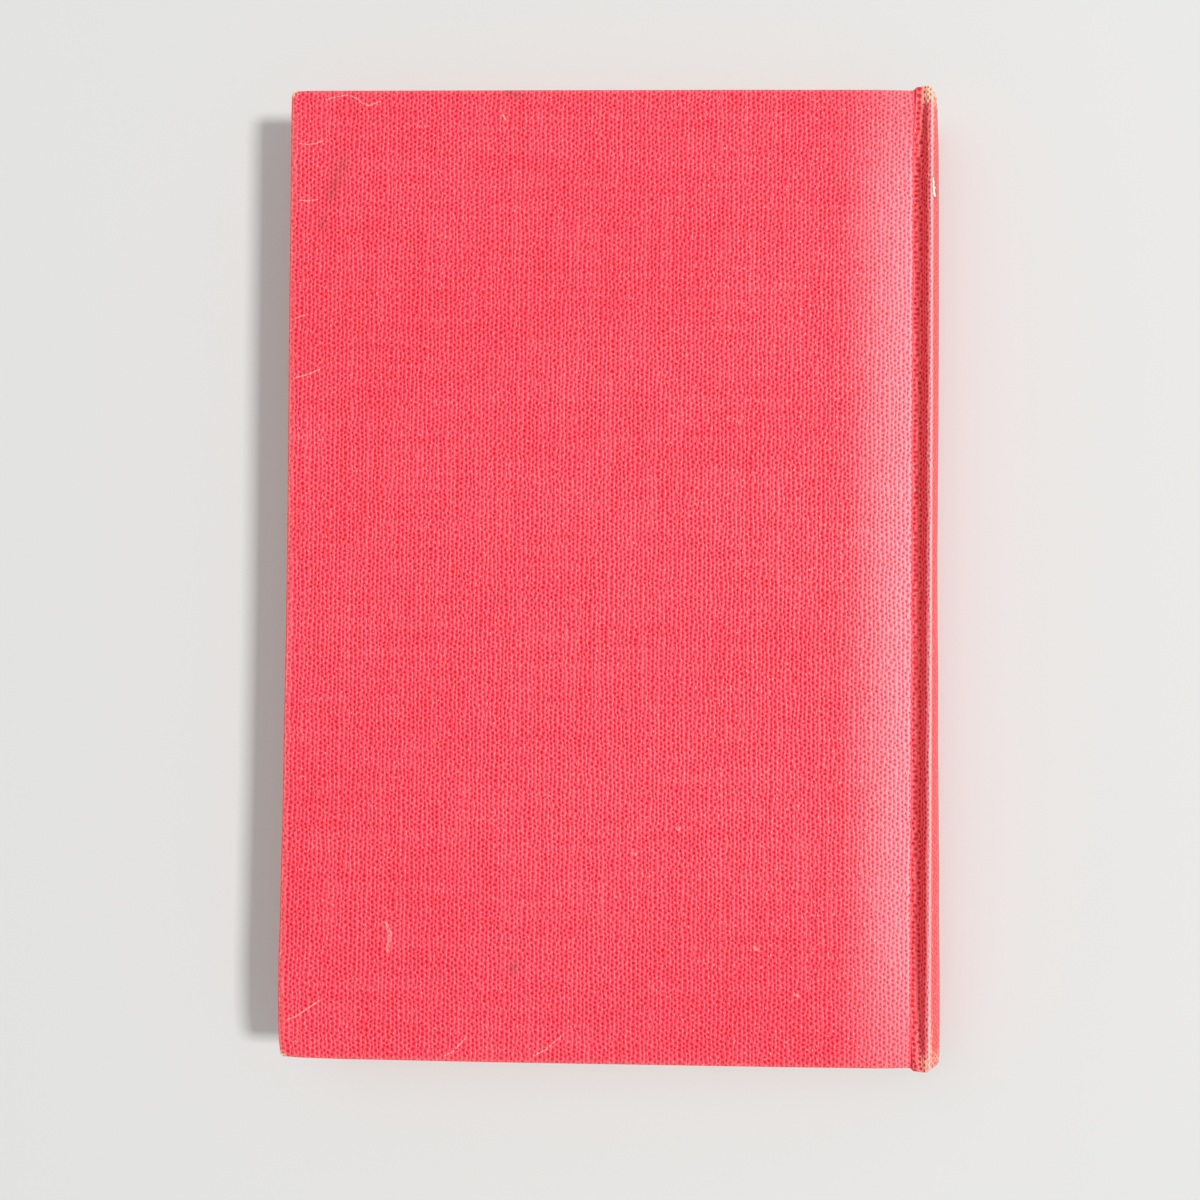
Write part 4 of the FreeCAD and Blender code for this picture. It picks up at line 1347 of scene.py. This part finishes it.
CLOTH_LOOK = cloth_material("book_cloth", False)
MARKED_CLOTH = cloth_material("book_cloth_marked", True)
GREYBOARD = board_material()
ENDPAPER_PAPER = paper_material("endpaper", srgb(240, 234, 216), srgb(222, 208, 178))
GAUZE = woven_material("gauze", srgb(232, 226, 208), srgb(150, 138, 112), 0.7)
BAND_THREAD = woven_material("band_thread", srgb(238, 228, 200), srgb(206, 186, 146), 0.5, 0.4)
PAGES = pages_material()
INLAY_CARD = card_material("inlay_card", srgb(186, 160, 124), srgb(150, 124, 90))
KRAFT = card_material("kraft_lining", srgb(176, 142, 100), srgb(140, 108, 72))
BARE_THREAD = fray_material()

make_cloth("back", CLOTH_LOOK, MARKED_CLOTH)
make_cloth("front", CLOTH_LOOK)
for side in ("back", "front"):
    make_board(side, GREYBOARD)
    make_pastedown(side, ENDPAPER_PAPER)
    make_gauze(side, GAUZE)
    make_free_leaf(side, ENDPAPER_PAPER)
make_pages(PAGES)
make_spine_card(INLAY_CARD)
make_band(1, BAND_THREAD)
make_band(-1, BAND_THREAD)
make_frays("head_cap_threads", BARE_THREAD, 1, 46, 5)
make_frays("tail_cap_threads", BARE_THREAD, -1, 22, 8)

lining = frame["nodes"]["spine_lining_paper"]
lining.data.materials.clear()
lining.data.materials.append(KRAFT)


# Floor, light and camera

BACKDROP = srgb(234, 234, 232)


def seen_directly(tree):
    """1 for rays from the camera, and for those in reflections and glass."""
    path = tree.nodes.new("ShaderNodeLightPath")
    seen = path.outputs["Is Camera Ray"]
    for name in ("Is Glossy Ray", "Is Transmission Ray"):
        either = tree.nodes.new("ShaderNodeMath")
        either.operation = "MAXIMUM"
        tree.links.new(seen, either.inputs[0])
        tree.links.new(path.outputs[name], either.inputs[1])
        seen = either.outputs[0]
    return seen


def choose(tree, share, first, second, output):
    node = tree.nodes.new("ShaderNodeMixShader")
    for socket, value in zip(node.inputs, (share, first, second)):
        tree.links.new(value, socket)
    tree.links.new(node.outputs[0], output.inputs["Surface"])


def make_floor():
    """A pale floor that turns into the backdrop well away from the book."""
    n = Nodes("pale_floor")
    n.finish(srgb(226, 226, 224), 0.9, specular=0.1)
    radius = n.vector("LENGTH", n.node("ShaderNodeTexCoord").outputs["Object"])
    far = n.math("MULTIPLY", n.ramp(radius, 0.4, 1.5), seen_directly(n.tree))
    glow = n.node("ShaderNodeEmission", {"Color": (*BACKDROP, 1), "Strength": 1.0})
    output = n.tree.nodes["Material Output"]
    choose(n.tree, far, n.shader.outputs["BSDF"], glow.outputs["Emission"], output)
    bm = bmesh.new()
    half = 3.0
    corners = [bm.verts.new((sx * half, sy * half, 0)) for sx, sy in ((-1, -1), (1, -1), (1, 1), (-1, 1))]
    bm.faces.new(corners)
    mesh = bpy.data.meshes.new("floor")
    bm.to_mesh(mesh)
    bm.free()
    mesh.materials.append(n.material)
    floor = bpy.data.objects.new("floor", mesh)
    bpy.context.scene.collection.objects.link(floor)


def add_area(name, azimuth, elevation, distance, size, power):
    """A soft square lamp aimed at the book; azimuth 0 is towards +X, 90 towards +Y."""
    a, e = math.radians(azimuth), math.radians(elevation)
    direction = Vector((math.cos(a) * math.cos(e), math.sin(a) * math.cos(e), math.sin(e)))
    lamp = bpy.data.lights.new(name, "AREA")
    lamp.size = size
    lamp.energy = power
    item = bpy.data.objects.new(name, lamp)
    item.location = direction * distance
    item.rotation_mode = "QUATERNION"
    item.rotation_quaternion = direction.to_track_quat("Z", "Y")
    bpy.context.scene.collection.objects.link(item)


make_floor()
add_area("key", 2, 51, 3.0, 0.5, 62)
add_area("fill", 150, 55, 3.0, 2.4, 14)

def make_world():
    """Plain white light, and a pale backdrop wherever the camera or a reflection looks past the floor."""
    world = bpy.data.worlds.new("studio")
    world.use_nodes = True
    tree = world.node_tree
    light = tree.nodes["Background"]
    light.inputs["Color"].default_value = (1, 1, 1, 1)
    light.inputs["Strength"].default_value = 0.4
    backdrop = tree.nodes.new("ShaderNodeBackground")
    backdrop.inputs["Color"].default_value = (*BACKDROP, 1)
    backdrop.inputs["Strength"].default_value = 1
    choose(tree, seen_directly(tree), light.outputs[0], backdrop.outputs[0], tree.nodes["World Output"])
    bpy.context.scene.world = world


make_world()
bpy.context.scene.view_settings.view_transform = "Standard"

camera_data = bpy.data.cameras.new("camera")
camera_data.lens = 36
camera_data.sensor_width = 36
camera_data.clip_start = 0.01
camera = bpy.data.objects.new("camera", camera_data)
camera.location = Vector((3.15, -9.5, 247.76)) * MM
camera.rotation_euler = Euler((math.radians(1.048), math.radians(1.425), math.radians(0.475)), "XYZ")
bpy.context.scene.collection.objects.link(camera)
bpy.context.scene.camera = camera
